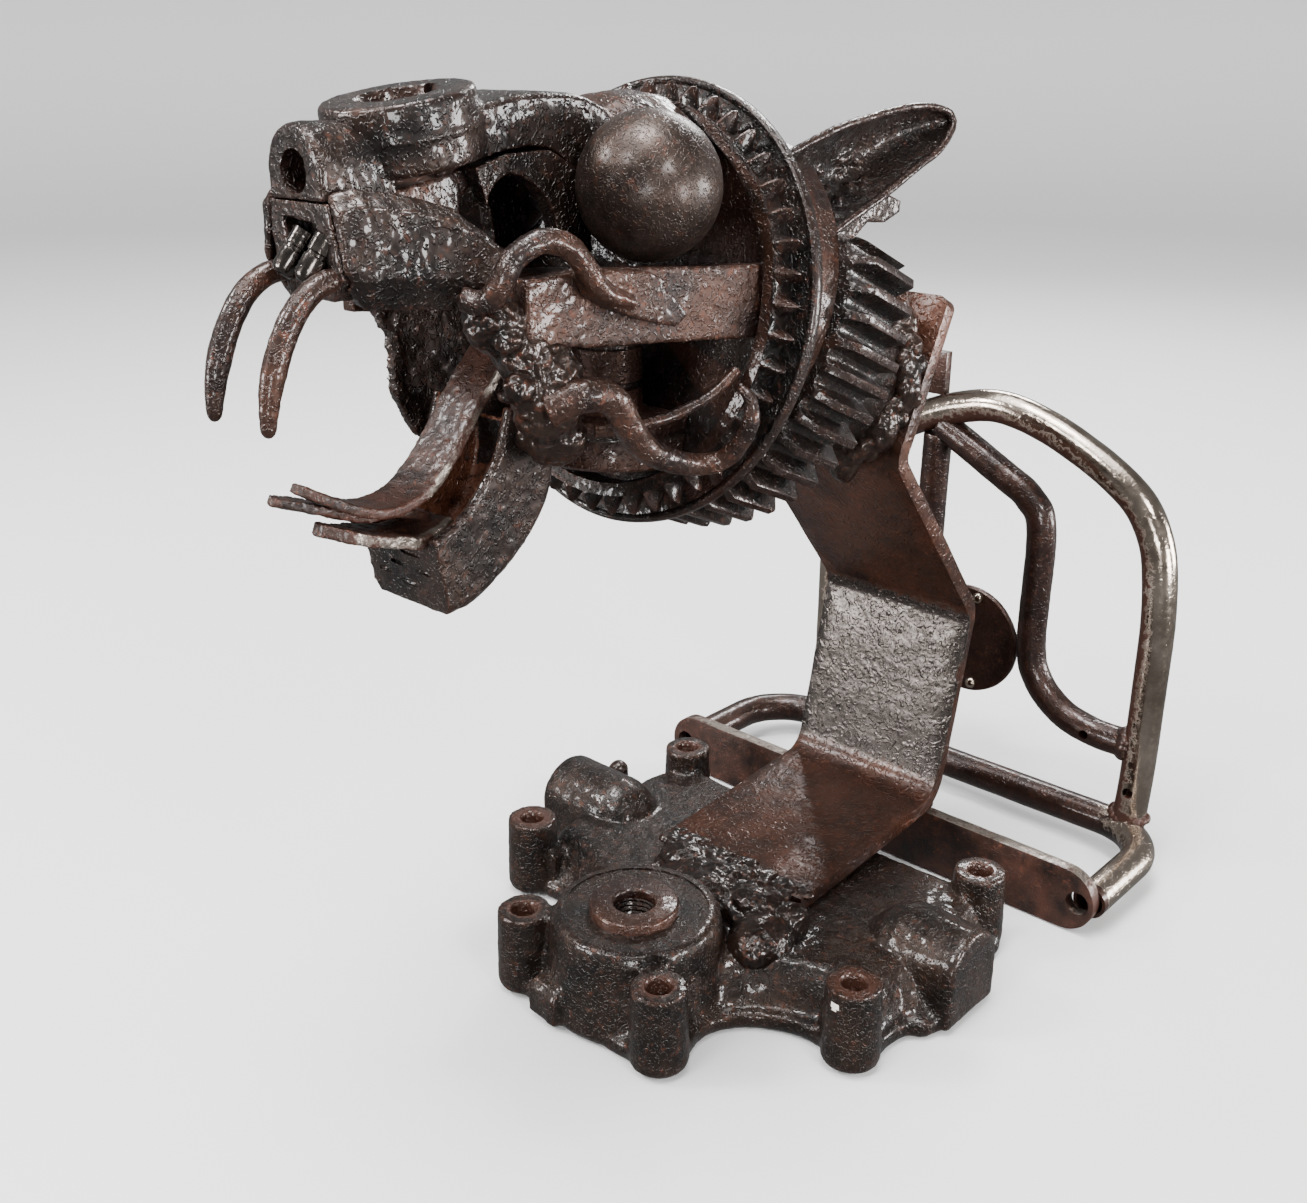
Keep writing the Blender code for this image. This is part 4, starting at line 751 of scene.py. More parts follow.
def weld_column(name, side, draw):
    """Bubbling drops that tie the cone to the bar, up one side of it."""
    shapes = []
    for k in range(46):
        a = radians(-64 + 112 * k / 45)
        r = draw.uniform(2.2, 4.4)
        out = CONE_END + draw.uniform(-1.5, 2.2)
        at = GEAR_AXIS @ Vector((side * out * cos(a), CONE_END * sin(a),
                                 CONE_BACK + draw.uniform(-4.5, 4)))
        shapes.append(blob(at, (r, r, r * draw.uniform(0.8, 1.4)), draw.uniform(0, pi)))
    for k in range(4):
        a = radians(-60 + 33 * k)
        at = GEAR_AXIS @ Vector((side * 27.5 * cos(a), CONE_END * sin(a), CONE_BACK))
        shapes.append(blob(at, (6.0, 5.0, 9.5)))
    return melt(name, shapes, 0.6, 2, 0.3, 2.4, 6 + side)


TUBE = 6.35
INNER_TUBE = 5.8
STRIP_RADIUS = 12.25
STRIP_ENDS = (99.5, -103.0)
STRIP_FOOT = 0.8
STRIP_THICK = 5.0
STRIP_HOLES = (93.2, -95.8)
LOOP_LEVEL = 12.4
LOOP_HALF = 95.5
RACK_PLANE = 182.0
STRIP_FACE = 118.0
ARCH_MIDDLE = 8.8


def rack_strip():
    """The upright flat strip with round ends; its top edge is worn to pale metal."""
    r, middle = STRIP_RADIUS, STRIP_FOOT + STRIP_RADIUS
    outline = []
    for cx, start in ((STRIP_ENDS[0] - r, -pi / 2), (STRIP_ENDS[1] + r, pi / 2)):
        outline += [(cx + r * cos(start + pi * k / 24), middle + r * sin(start + pi * k / 24))
                    for k in range(25)]
    strip = mesh_object("Rack_strip", front_plate(outline, STRIP_FACE, STRIP_FACE + STRIP_THICK))
    cut(strip, [plain_bar(4.4, -3, 9, 40, facing_back((x, STRIP_FACE, middle)))
                for x in STRIP_HOLES])
    ease(strip, 0.7)
    slice_up(strip, 0, 4.0)

    def wear_and_sheen(place, normal):
        """Pale along the upper edge and round the ends, broken into patches."""
        edge = max(abs(normal.z), abs(normal.x)) if place.z > 3 else 0.0
        return 0.66 * edge * (0.55 + 0.5 * noise.noise(place / 9.0) + 0.35 * (place.z > 20))

    return paint(roughen(strip, 0.15, 10.0, 6), wear_and_sheen)


def drill(at):
    """A hole drilled into a tube from the front."""
    return lathe([(0, -8), (2.7, -8), (1.9, -5.6), (1.9, 1.0), (0, 1.0)], 24, facing_back(at))


def ground_loop():
    """The U-shaped tube on the ground; plating is left on its near end, laid on most heavily as
    painted highlight where it faces up and to the right.
    """
    y0 = STRIP_FACE + STRIP_THICK + 0.1
    path = rounded([(-LOOP_HALF, y0, LOOP_LEVEL), (-LOOP_HALF, RACK_PLANE, LOOP_LEVEL),
                    (LOOP_HALF, RACK_PLANE, LOOP_LEVEL), (LOOP_HALF, y0, LOOP_LEVEL)], 25, 20)
    line = [path[0].lerp(path[1], k / 6) for k in range(6)] + path[1:21]
    line += [path[21].lerp(path[22], k / 40) for k in range(41)] + path[23:43]
    line += [path[-2].lerp(path[-1], k / 6) for k in range(7)]
    loop = mesh_object("Rack_ground_loop", rod(line, (TUBE - 0.05, TUBE - 0.05), 40))
    cut(loop, [plain_bar(5.0, -1, 14, 32, facing_back((side * LOOP_HALF, y0, LOOP_LEVEL)))
               for side in (1, -1)])

    def plating_and_painted_highlight(place, normal):
        """Plating holds on the near bend and fades towards the back bar; more of it where the tube
        faces up and to the right is painted highlight.
        """
        off_axis = Vector((abs(place.x) - LOOP_HALF, place.z - LOOP_LEVEL)).length
        if place.y < y0 + 1.0 or (place.y < y0 + 15 and off_axis < 5.3):
            return 0.0
        near = min(max((place.x - 62) / 22, 0), 1)
        # painted highlight: pale plating weighted to the side that faces up and to the right
        outer = 0.55 + 0.45 * normal.dot(Vector((0.8, -0.1, 0.6)))
        return 0.95 * near * min(max(outer * 1.35, 0), 1)

    return paint(roughen(loop, 0.10, 9.0, 8), plating_and_painted_highlight)


def arch_line():
    """Centre line of the plated arch, as soft points."""
    foot = LOOP_LEVEL + 1.5
    right = [(73.2, foot), (74.2, 40), (74.2, 70), (74.0, 100), (72.0, 120), (68.6, 132.5),
             (62, 143.5), (51.5, 152), (37, 160), (19, 167.4)]
    left = [(-x, z) for x, z in reversed(right)]
    return [Vector((ARCH_MIDDLE + x, RACK_PLANE, z)) for x, z in right + [(0, 171.0)] + left]


def plated_arch():
    """The outer tube: nickel outside, dark rust-brown painted along its inner side as shade, and
    rust near the ground.
    """
    line = arch_line()
    shapes = [rod(curve(line, 6), (TUBE, TUBE), 40)]
    for foot in (line[0], line[-1]):
        for k, a in enumerate(angles(16)):   # weld where each leg stands on the tube below
            at = (foot.x + 6.4 * cos(a), foot.y + 4.6 * sin(a), 18.6 - 2.2 * sin(a) ** 2)
            shapes.append(blob(at, (2.2, 2.2, 1.8 + 0.6 * (k % 3))))
    arch = mesh_object("Plated_arch", shapes)
    cut(arch, [drill((82.7, RACK_PLANE, 30.6))])
    heart = Vector((ARCH_MIDDLE, RACK_PLANE, 85.0))

    def rust_and_painted_shade(place, normal):
        """Painted shade in dark rust-brown on the side that looks into the arch, and rust low on
        the upright legs.
        """
        inward = heart - place
        inward.y = 0
        # painted shade: the side turned into the arch gets the dark rust-brown
        side = normal.dot(inward.normalized())
        low = 0.6 * (place.z < 22) + 0.15 * max(0.0, (60 - place.z) / 40)
        return 0.40 + 0.55 * side + low + 0.10 * noise.noise(place / 12.0)

    return paint(roughen(arch, 0.08, 8.0, 9), rust_and_painted_shade)


INNER_NEAR = ((-16, 160), (12.6, 144.9), (25.6, 137.2), (32.1, 124.5), (32.6, 79), (37.4, 63),
              (49, 52.5), (64, 48.4), (80, 48.2))
INNER_FAR = ((-17.5, 156), (-18, 120), (-18, 79), (-22, 63.5), (-33, 53.5), (-47, 48.8),
             (-64, 48.2))


def inner_tube(name, line, weld_at, draw):
    """An inner tube with the fillet of weld at its end."""
    points = curve([(x, RACK_PLANE, z) for x, z in line], 8)
    shapes = [rod(points, (INNER_TUBE, INNER_TUBE), 32)]
    for a in angles(14):
        at = Vector(weld_at) + Vector((draw.uniform(-0.8, 0.8), 5.6 * cos(a), 5.6 * sin(a)))
        shapes.append(blob(at, (2.4, 1.7, 1.7)))
    return melt(name, shapes, 0.8, 1, 0.10, 7.0, 11)


def round_plate():
    """The riveted disc between the inner tubes."""
    profile = ((0, 0), (22.4, 0), (23, 0.5), (23, 1.9), (22.4, 2.5), (19, 2.5), (10, 2.3),
               (0, 2.3))
    disc = lathe(profile, 72, facing_front((3.8, RACK_PLANE + 1.2, 72)))
    return roughen(mesh_object("Round_plate", disc), 0.12, 8.0, 12)


def plate_rivet(name, z):
    """A round rivet head."""
    profile = ((0, -0.2), (2.4, -0.2), (2.35, 0.5), (1.9, 1.15), (1.0, 1.55), (0, 1.65))
    return mesh_object(name, lathe(profile, 24, facing_front((7.8, RACK_PLANE - 1.4, z))))


# Toothed wheels

COLLAR_AXIS = axis_frame((0.0, -14.0, 233.7), radians(13.3))
GEAR_WIDE = 25.4
GEAR_TIP = 62.2
GEAR_ROOT = 56.3
CROWN_CUT = 24.5
SLEEVE_FRONT = 51.5
SLEEVE_BACK = 53
DOG_ROOT = 54.4
# Dog teeth: height, how far the gaps drop back, tip radius, half the width as a share
DOG_LEVELS = ((-1.0, 0.0, 54.6, 0.02), (0.5, 0.0, 55.4, 0.12), (2.0, 0.0, 58.6, 0.32),
              (3.4, 0.0, 59.8, 0.39), (5.2, 0.0, 59.3, 0.34), (6.8, 0.6, 57.3, 0.21),
              (8.0, 1.7, 55.2, 0.08))


def wheel(teeth, levels, axis, shape):
    """A toothed body: levels are (height, tip radius, root radius), shape one tooth's outline."""
    rings = []
    for z, tip, root in levels:
        ring = []
        for k in range(teeth):
            for share, rise in shape:
                a = 2 * pi * (k + share) / teeth
                r = root + (tip - root) * rise
                ring.append(axis @ Vector((r * cos(a), r * sin(a), z)))
        rings.append(ring)
    return loft(rings)


def crown_cutter(low, high):
    """The block that takes the cut-away crown off the gear and its cone."""
    square = [(-80, CROWN_CUT), (80, CROWN_CUT), (80, 80), (-80, 80)]
    return loft([[GEAR_AXIS @ Vector((x, y, z)) for x, y in square] for z in (low, high)])


def neck_gear(sizes):
    """The spur gear: round-flanked teeth whose front ends are bevelled back."""
    flank = ((0.05, 0.0), (0.13, 0.06), (0.19, 0.28), (0.24, 0.58), (0.29, 0.86), (0.32, 1.0),
             (0.60, 1.0), (0.63, 0.86), (0.68, 0.58), (0.73, 0.28), (0.79, 0.06), (0.87, 0.0))
    wide, tip, root = GEAR_WIDE, GEAR_TIP, GEAR_ROOT
    levels = ((0.0, tip - 1.0, root - 0.6), (0.9, tip, root), (wide - 4.4, tip, root),
              (wide - 3.6, tip - 0.7, root), (wide - 0.8, tip - 4.0, root - 0.2),
              (wide, tip - 5.2, root - 1.0))
    gear = mesh_object("Neck_gear", wheel(sizes.gear_teeth, levels, GEAR_AXIS, flank))
    return ease(cut(gear, [crown_cutter(-5, wide + 5)]), 0.22, 2, 38)


def neck_cone():
    """The cone behind the gear, rough from the torch that cut its crown."""
    profile = [(0, -66), (27, -66), (28, -55), (29.5, -44), (34, -32), (40, -19), (44, -14),
               (50.3, -7), (51, -5), (51, -0.4), (0, -0.4)]
    cone = mesh_object("Neck_cone", lathe(profile, 96, GEAR_AXIS))
    behind, top = (Vector((0.0, *point)) for point in BAR_FRONT[-2:])
    rise = (top - behind).normalized()
    out = Vector((0.0, rise.z, -rise.y))
    bar = []
    for depth in (0.2, 60.0):
        corners = ((-80, -60), (80, -60), (80, 90), (-80, 90))
        bar.append([behind + out * depth + rise * up + Vector((x, 0, 0)) for x, up in corners])
    cut(cone, [crown_cutter(-34, 5), loft(bar)])
    return ease(cone, 0.5, 2)


def neck_sleeve():
    """The dark sleeve between collar and gear, with the flat edge of a washer in it."""
    rings = []
    for share, extra in ((0.0, 0.0), (0.46, 0.0), (0.47, 2.2), (0.56, 2.2), (0.57, 0.0),
                         (1.0, 0.0)):
        near, far = SLEEVE_FRONT + extra, SLEEVE_BACK + extra
        ring = []
        for a in angles(96):
            front = COLLAR_AXIS @ Vector((near * cos(a), near * sin(a), -4.2))
            back = GEAR_AXIS @ Vector((far * cos(a), far * sin(a), GEAR_WIDE + 0.2))
            ring.append(front.lerp(back, share))
        rings.append(ring)
    return mesh_object("Neck_sleeve", loft(rings))


def dog_band(teeth):
    """The band of dog teeth: each is a lozenge with a sharp crest, and gaps lie between."""
    rings = []
    for z, notch, tip, half in DOG_LEVELS:
        crest = ((0.0, 0.0), (0.5 - half, 0.0), (0.5 - half * 0.5, 0.52), (0.47, 0.97),
                 (0.53, 0.97), (0.5 + half * 0.5, 0.52), (0.5 + half, 0.0))
        ring = []
        for k in range(teeth):
            for share, rise in crest:
                a = 2 * pi * (k + share + 0.13) / teeth
                r = DOG_ROOT + (tip - DOG_ROOT) * rise
                drop = notch * min(1.0, abs(share - 0.5) * 2.2)
                ring.append(COLLAR_AXIS @ Vector((r * cos(a), r * sin(a), z - drop)))
        rings.append(ring)
    return loft(rings)


def dog_collar(sizes):
    """The collar: rimmed flange, band of pointed dog teeth, bore with a plain web."""
    flange = [(0, -4), (60.6, -4), (61.4, -3.7), (61.8, -3.0), (61.8, -1.2), (61.5, -0.4),
              (60.9, 0), (60.0, -0.2), (59.4, -0.7), (0, -0.7)]
    collar = mesh_object("Dog_collar", lathe(flange, 180, COLLAR_AXIS))
    cut(collar, [dog_band(sizes.dog_teeth)], "UNION")
    bore = lathe([(0, -1.0), (50, -1.0), (50, 6.0), (51.6, 9.5), (0, 9.5)], 120, COLLAR_AXIS)
    cut(collar, [bore])
    return ease(collar, 0.14, 2)


# Face

EYE_AT = Vector((30.0, -40.0, 268.7))
ARM_EYE = Matrix.Translation((0.0, -92.5, 290.8)) @ Matrix.Rotation(radians(10.0), 4, "X")
NOSE_AT = Vector((0.0, -121.7, 275.2))


def ball_eye(name, side, sizes):
    """A steel ball."""
    bm = bmesh.new()
    bmesh.ops.create_uvsphere(bm, u_segments=96, v_segments=48, radius=sizes.eye_radius * 1000,
                              matrix=Matrix.Translation((side * EYE_AT.x, EYE_AT.y, EYE_AT.z)))
    return roughen(mesh_object(name, bm), 0.04, 4.0, 13)


def snout_arm():
    """The forged lever: an eye at the front with a parting line, and the arm behind it."""
    ring = [(0, -16), (17.6, -16), (18.2, -15.2), (18.4, -8.7), (18.9, -8.2), (18.4, -7.7),
            (18.3, -1.1), (17.9, -0.3), (17.2, 0), (0, 0)]
    outline = [(-92, 273), (-84, 274.8), (-71, 277.6), (-60, 278), (-53, 275), (-48, 270),
               (-43, 263), (-39, 259.5), (-34, 259.5), (-30.5, 263), (-30, 276), (-36, 285.5),
               (-45, 289.6), (-54, 290.6), (-64, 290.6), (-76, 288.8), (-84, 287.4), (-92, 286.4)]
    smooth = flat_curve(outline, 4, True)
    rings = []
    for x, pull in ((-13, 0.90), (-12.2, 0.96), (-10.5, 1.0), (10.5, 1.0), (12.2, 0.96),
                    (13, 0.90)):
        rings.append([(x, -60 + (y + 60) * (1 - (1 - pull) * 0.3), 280 + (z - 280) * pull)
                      for y, z in smooth])
    arm = melt("Snout_arm", [lathe(ring, 128, ARM_EYE), loft(rings)], 0.65, 2, 0.12, 3.5, 14)
    hole = lathe([(0, -22), (9.3, -22), (9.3, -0.9), (10.4, 0.4), (10.4, 6), (0, 6)], 64, ARM_EYE)
    corners = ((-1.6, 0), (1.6, 0), (1.6, 11), (-1.6, 11))
    slot = loft([[ARM_EYE @ Vector((x, y, z)) for x, y in corners] for z in (-22, 6)])
    return cut(arm, [hole, slot])


def nose_bush():
    """The bush at the tip of the muzzle, bored along it, rough forged round the top."""
    r = 10.3
    outline = [(-r, -6)] + [(r * cos(pi - pi * k / 40), r * sin(pi - pi * k / 40))
                            for k in range(41)] + [(r, -6)]
    rings = []
    for y, s in ((0, 0.93), (0.7, 0.98), (1.8, 1.0), (20, 1.0)):
        rings.append([(x * s, NOSE_AT.y + y, NOSE_AT.z + (z * s if z > 0 else z))
                      for x, z in outline])
    bush = melt("Nose_bush", loft(rings), 0.45, 2, 0.16, 3.0, 15)
    hole = lathe([(0, -3), (5.6, -3), (4.7, 0.9), (4.7, 30), (0, 30)], 48, facing_back(NOSE_AT))
    return cut(bush, [hole])


def nose_bracket(draw):
    """The forked bracket under the nose, with weld spatter in its mouth."""
    spatter = [blob((draw.uniform(-9, 11), -119.5 + draw.uniform(-0.6, 0.6),
                     draw.uniform(250, 256)), (1.0, 1.0, 1.3)) for _ in range(16)]
    return forged("Nose_bracket", "nose_bracket", 0.45, 2, 0.18, 2.6, 16, spatter)


def nose_bolt(name, x):
    """A short ground bolt stub with a turned groove and a round end."""
    low, high = Vector((x - 1.6, -125.0, 252.6 - 0.1 * x)), Vector((x + 1.2, -119.0, 262.0))
    along = (high - low).normalized()
    place = Matrix.Translation(low) @ along.to_track_quat("Z", "Y").to_matrix().to_4x4()
    profile = ((0, 0.1), (1.9, 0.2), (2.7, 0.8), (3.1, 1.8), (3.1, 6.2), (2.7, 6.6), (2.7, 7.2),
               (3.1, 7.6), (3.1, 11.4), (0, 11.4))
    return mesh_object(name, lathe(profile, 40, place))


def hooked_rod(name, side, draw):
    """The bent rod over the cheek, hammered flat to a blade at its end."""
    path = [(27.5, -98.5, 247.8), (32.5, -96.0, 247.2), (35.6, -94.2, 251.5), (37, -91, 257.0),
            (39, -84.6, 260.2), (41, -78.2, 258.6), (42.8, -74.0, 253.0), (44.2, -70.5, 248.0),
            (46, -62, 244.5)]
    radii = [2.9, 2.95, 2.9, 2.9, 2.9, 2.85, 2.75, 2.3, 1.2]
    blade = [(-75, 252), (-66.9, 252.6), (-57, 251.4), (-51.6, 248.8), (-53, 247.3),
             (-49.4, 244.8), (-45, 239.9), (-49, 237.5), (-58.5, 240), (-67, 243.4),
             (-73.5, 247.2)]
    flat = loft([[(39.6 + off + (y + 70) * 0.165, y, z) for y, z in blade] for off in (0, 4.4)])
    shapes = [rod(curve(path, 8), radii, 32), flat]
    shapes += [blob((29 + draw.uniform(-2, 3), -97 + draw.uniform(-2, 2), 247.5), (2.6, 2.2, 1.8))
               for _ in range(5)]
    if side < 0:
        shapes = [mirrored(bm) for bm in shapes]
    return melt(name, shapes, 0.5, 1, 0.14, 2.6, 18)


def lower_rod():
    """The thick rod under the cheek that thins and curls up in front of the collar."""
    path = [(38, -84, 221.5), (43, -76.5, 224.6), (45, -69, 222.6), (45.3, -64, 215.5),
            (45.5, -57.6, 208.2), (45.5, -47, 203.0), (46, -38.5, 200.6), (50, -34, 201.6),
            (54.6, -32.5, 206.4), (57.3, -31.5, 212.5), (56.4, -31, 218), (53, -31, 220.6)]
    radii = (4.4, 4.2, 3.9, 3.7, 3.4, 3.1, 2.9, 2.7, 2.5, 2.2, 1.8, 1.1)
    return melt("Cheek_rod_lower", rod(curve(path, 8), radii, 32), 0.55, 1, 0.20, 3.2, 19)


def cross_bar():
    """The thin bar that crosses behind the lower rod."""
    line = [(36, -66, 212.8), (40, -60, 213.0), (43.5, -48, 214.2), (46, -36, 217.5),
            (47.5, -26, 223.0)]
    return roughen(mesh_object("Cheek_bar", rod(curve(line, 10), (1.5, 1.5), 20)), 0.12, 2.5, 20)


def cheek_weld(draw):
    """The run of weld that joins snout, cheek plate and jaw: knotted, with open folds."""
    shapes = [blob(c, s) for c, s in (((33, -79, 225), (9, 9.5, 14)),
                                      ((23, -69, 211), (11, 7.5, 8.5)),
                                      ((29, -90, 242), (7.5, 8.5, 7.5)),
                                      ((30, -84, 235), (7.5, 7.5, 8.5)))]
    for _ in range(26):
        share = draw.random()
        at = Vector((29, -92, 243)).lerp(Vector((34, -76, 216)), share)
        at += Vector((draw.uniform(0, 5.5), draw.uniform(-7, 7), draw.uniform(-4, 4)))
        r = draw.uniform(2.2, 4.4)
        shapes.append(blob(at, (r, r * draw.uniform(0.5, 2.2), r * draw.uniform(0.6, 1.2)),
                           draw.uniform(0, pi)))
    return melt("Cheek_weld", shapes, 0.56, 6, 0.9, 4.5, 21)


def cheek_wall(draw):
    """The plate that closes the mouth's far side, its front edge torn and lumpy with weld."""
    edge = [Vector((-26, y, z))
            for y, z in ((-87, 239.5), (-83, 234.5), (-80.5, 228), (-80.8, 221), (-79.5, 214.5),
                         (-76.5, 208.5), (-73.5, 204))]
    beads, bites = [], []
    for k in range(26):
        at = spread(edge, draw.random())
        r = draw.uniform(1.0, 2.3)
        if k % 2:
            beads.append(blob(at + Vector((0.8, draw.uniform(0.5, 2.5), 0)), (1.6, r, r * 1.5)))
        else:
            bites.append(blob(at + Vector((0, -0.9, 0)), (4, r * 0.9, r)))
    return cut(forged("Cheek_wall", "cheek_wall_R", 0.65, 1, 0.3, 3.0, 34, beads), bites)


def throat_cup():
    """The round cup below the mouth, its front half showing in the collar."""
    profile = ((0, 193), (24.8, 193), (25.5, 193.8), (25.5, 201.4), (25.0, 202.0), (25.5, 202.6),
               (25.5, 206.3), (24.8, 207), (0, 207))
    cup = mesh_object("Throat_cup", lathe(profile, 96, Matrix.Translation((0, -22, 0))))
    square = [(-60, -60), (60, -60), (60, 20), (-60, 20)]
    back = loft([[COLLAR_AXIS @ Vector((x, y, z)) for x, y in square] for z in (-50, -0.7)])
    return cut(cup, [back, from_node("jaw_channel")])


def throat_post():
    """The turned post on the cup, with two grooves."""
    profile = ((0, 207.2), (9.5, 207.2), (9.5, 214), (8.7, 214.6), (8.7, 215.6), (9.5, 216.2),
               (9.5, 225), (8.9, 225.5), (8.9, 226.3), (9.5, 226.8), (9.5, 232.4), (9.0, 233),
               (0, 233))
    return mesh_object("Throat_post", lathe(profile, 56, Matrix.Translation((6, -31, 0))))


JAW_HALF = 15.5
JAW_WALL = 3.2
CHIN = -97.5   # the blunt front face of the jaw lies before this Y


def jaw_channel():
    """The lower jaw: a forged channel, open above, swept down to the blunt chin."""
    backs = ((-59, 207), (-60.5, 194), (-66, 184), (-77, 174.5), (-88, 168.5), (-97.5, 167))
    fronts = ((-75, 217), (-79, 206), (-84, 199), (-91, 192.5), (-97, 189.2), (-101, 188))
    floors = (4.5, 4.5, 4.5, 6.0, 14.0, 19.5)
    half, inner, steps = JAW_HALF, JAW_HALF - JAW_WALL, 7
    rings = []
    for b, f, floor in zip(flat_curve(backs, steps), flat_curve(fronts, steps),
                           curve([(f, 0, 0) for f in floors], steps)):
        up = (f - b).normalized()
        deep = b + up * min(floor.x, (f - b).length - 1.2)
        ring = [(2 - half, b), (half - 2, b), (half, b + up * 2.5), (half, f - up * 0.6),
                (half - 0.7, f), (inner + 0.7, f), (inner, f - up * 0.6), (inner, deep + up * 0.3),
                (inner - 1.5, deep), (1.5 - inner, deep), (-inner, deep + up * 0.3),
                (-inner, f - up * 0.6), (-inner - 0.7, f), (0.7 - half, f), (-half, f - up * 0.6),
                (-half, b + up * 2.5)]
        rings.append([(x, p.x, p.y) for x, p in ring])
    jaw = melt("Jaw_channel", loft(rings), 0.7, 2, 0.16, 3.5, 22)
    torn = [blob((x, -100.6 + 0.17 * (186 - z), z), (w, 0.9, 0.8), turn)
            for x, z, w, turn in ((-7, 183.5, 4.6, 0.1), (4, 182.0, 5.5, -0.1),
                                  (8, 177.5, 3.4, 0.2), (-3, 178.0, 3.8, -0.2),
                                  (1, 173.0, 4.4, 0.1), (-9, 174.5, 2.4, 0))]

    def inside(place, normal):
        """Bare rust on the channel's inner walls and floor."""
        if place.y < CHIN:
            return 0.0
        return 0.62 * (normal.x * place.x < -3.0 or (abs(place.x) < 12.6 and normal.z > 0.3))

    return paint(cut(jaw, torn), inside)


def strap(line, widths, low, high, x0=0.0, crown=0.0):
    """A flat strip along (y, z) points, as wide as widths say; crown arches it across."""
    pts = flat_curve(line, 7)
    across = [-1, -0.6, -0.2, 0.2, 0.6, 1]
    rings = []
    for i, p in enumerate(pts):
        w = spread(widths, i / (len(pts) - 1))
        t = heading(pts, i)
        n = Vector((-t.y, t.x))
        ring = [(x0 + w * a, p + n * (crown * (1 - a * a) - low)) for a in across]
        ring += [(x0 + w * a, p + n * (crown * (1 - a * a) + high)) for a in reversed(across)]
        rings.append([(x, q.x, q.y) for x, q in ring])
    return loft(rings)


def rubbed_edges(strip, half, reach):
    """Wear along a strap's two long edges, fading over reach millimetres."""
    def edge(place, normal):
        """Bare metal at the edge, broken into patches."""
        near = 1 - (half - abs(place.x)) / reach
        return min(near, 1.0) * (0.50 + 0.5 * noise.noise(place / 6.0))

    return paint(strip, edge)


def tongue():
    """The tongue strap with its rib, ragged along the edges where the torch cut it."""
    line = [(-67, 228), (-77, 217.5), (-85.5, 206.8), (-94, 198.6), (-103, 195.0),
            (-112, 195.8), (-121, 200.0), (-128.5, 204.4)]
    rib = [(-68.2, 226), (-77, 216.9), (-85.5, 206.2), (-94, 198.0)]
    shapes = [strap(line, (7.5, 7.5, 7.5, 7.6, 7.2, 6.6, 5.6, 2.6), 1.3, 1.3),
              strap(rib, (1.6, 1.4, 0.8), 0.4, 3.2, 3.2)]
    return rubbed_edges(melt("Tongue_strap", shapes, 0.5, 2, 0.18, 3.0, 23), 7.5, 1.3)


def lip_leaf(name, upper):
    """One thin leaf of the lower lip, its rounded point twisted and torn."""
    if upper:
        shape = strap([(-92, 188.9), (-97, 191.4), (-104, 193.4), (-114, 194.6), (-124, 198.6),
                       (-133.6, 202.2)], (5.5, 6.5, 7.5, 7.4, 6.4, 5.0, 1.8), 1.1, 1.1, -3.0,
                      crown=0.5)
    else:
        shape = strap([(-90, 189.5), (-95, 187.8), (-101, 186.9), (-106, 188.3), (-112, 189.8),
                       (-118, 191.6), (-125.0, 194.6)],
                      (7.0, 8.6, 9.0, 9.0, 8.8, 7.6, 5.4, 2.0), 1.2, 1.9, 2.0, crown=0.4)
    return rubbed_edges(melt(name, shape, 0.45, 1, 0.26, 2.6, 24 + upper), 8.0, 1.0)


def curved_fang(name, side):
    """A fang of bent round bar, forged to a thin rounded tip."""
    line = [(-116.0, 252.8), (-123.6, 252.4), (-130.2, 248.4), (-135.2, 241.6), (-138.6, 234.0),
            (-140.4, 227.0), (-141.2, 220.9)]
    points = curve([(side * 11.0, y, z) for y, z in line], 24)
    radii = []
    for k in range(len(points)):
        left = (len(points) - 1 - k) / (len(points) - 1)   # share of the length left to the tip
        belly = 2.45 + 0.4 * sin(pi * min((1 - left) / 1.1, 1.0))
        taper = min(1.0, 0.62 + 1.1 * left)
        point = (1 - (1 - min(left / 0.06, 1.0)) ** 2) ** 0.5
        radii.append(belly * taper * point + 0.02)
    return roughen(mesh_object(name, rod(points, radii, 28)), 0.10, 2.4, 26 + side)


EAR_SECTIONS = (   # upper rim, lower rim, deepest point of the bowl
    ((39, 0, 273.5), (43, 10, 250.0), (33, 12, 260.0)),
    ((40, 23, 280.0), (44, 25.5, 256.3), (30, 32, 266.0)),
    ((40, 43.5, 283.2), (44, 42, 262.0), (31, 49, 271.0)),
    ((40, 60, 284.9), (44, 57, 268.2), (34, 62.5, 276.0)),
    ((40.5, 71, 284.5), (44, 69, 272.8), (37.5, 74, 279.0)),
    ((41, 78, 282.9), (43, 76.8, 278.0), (40.5, 79.5, 280.6)))


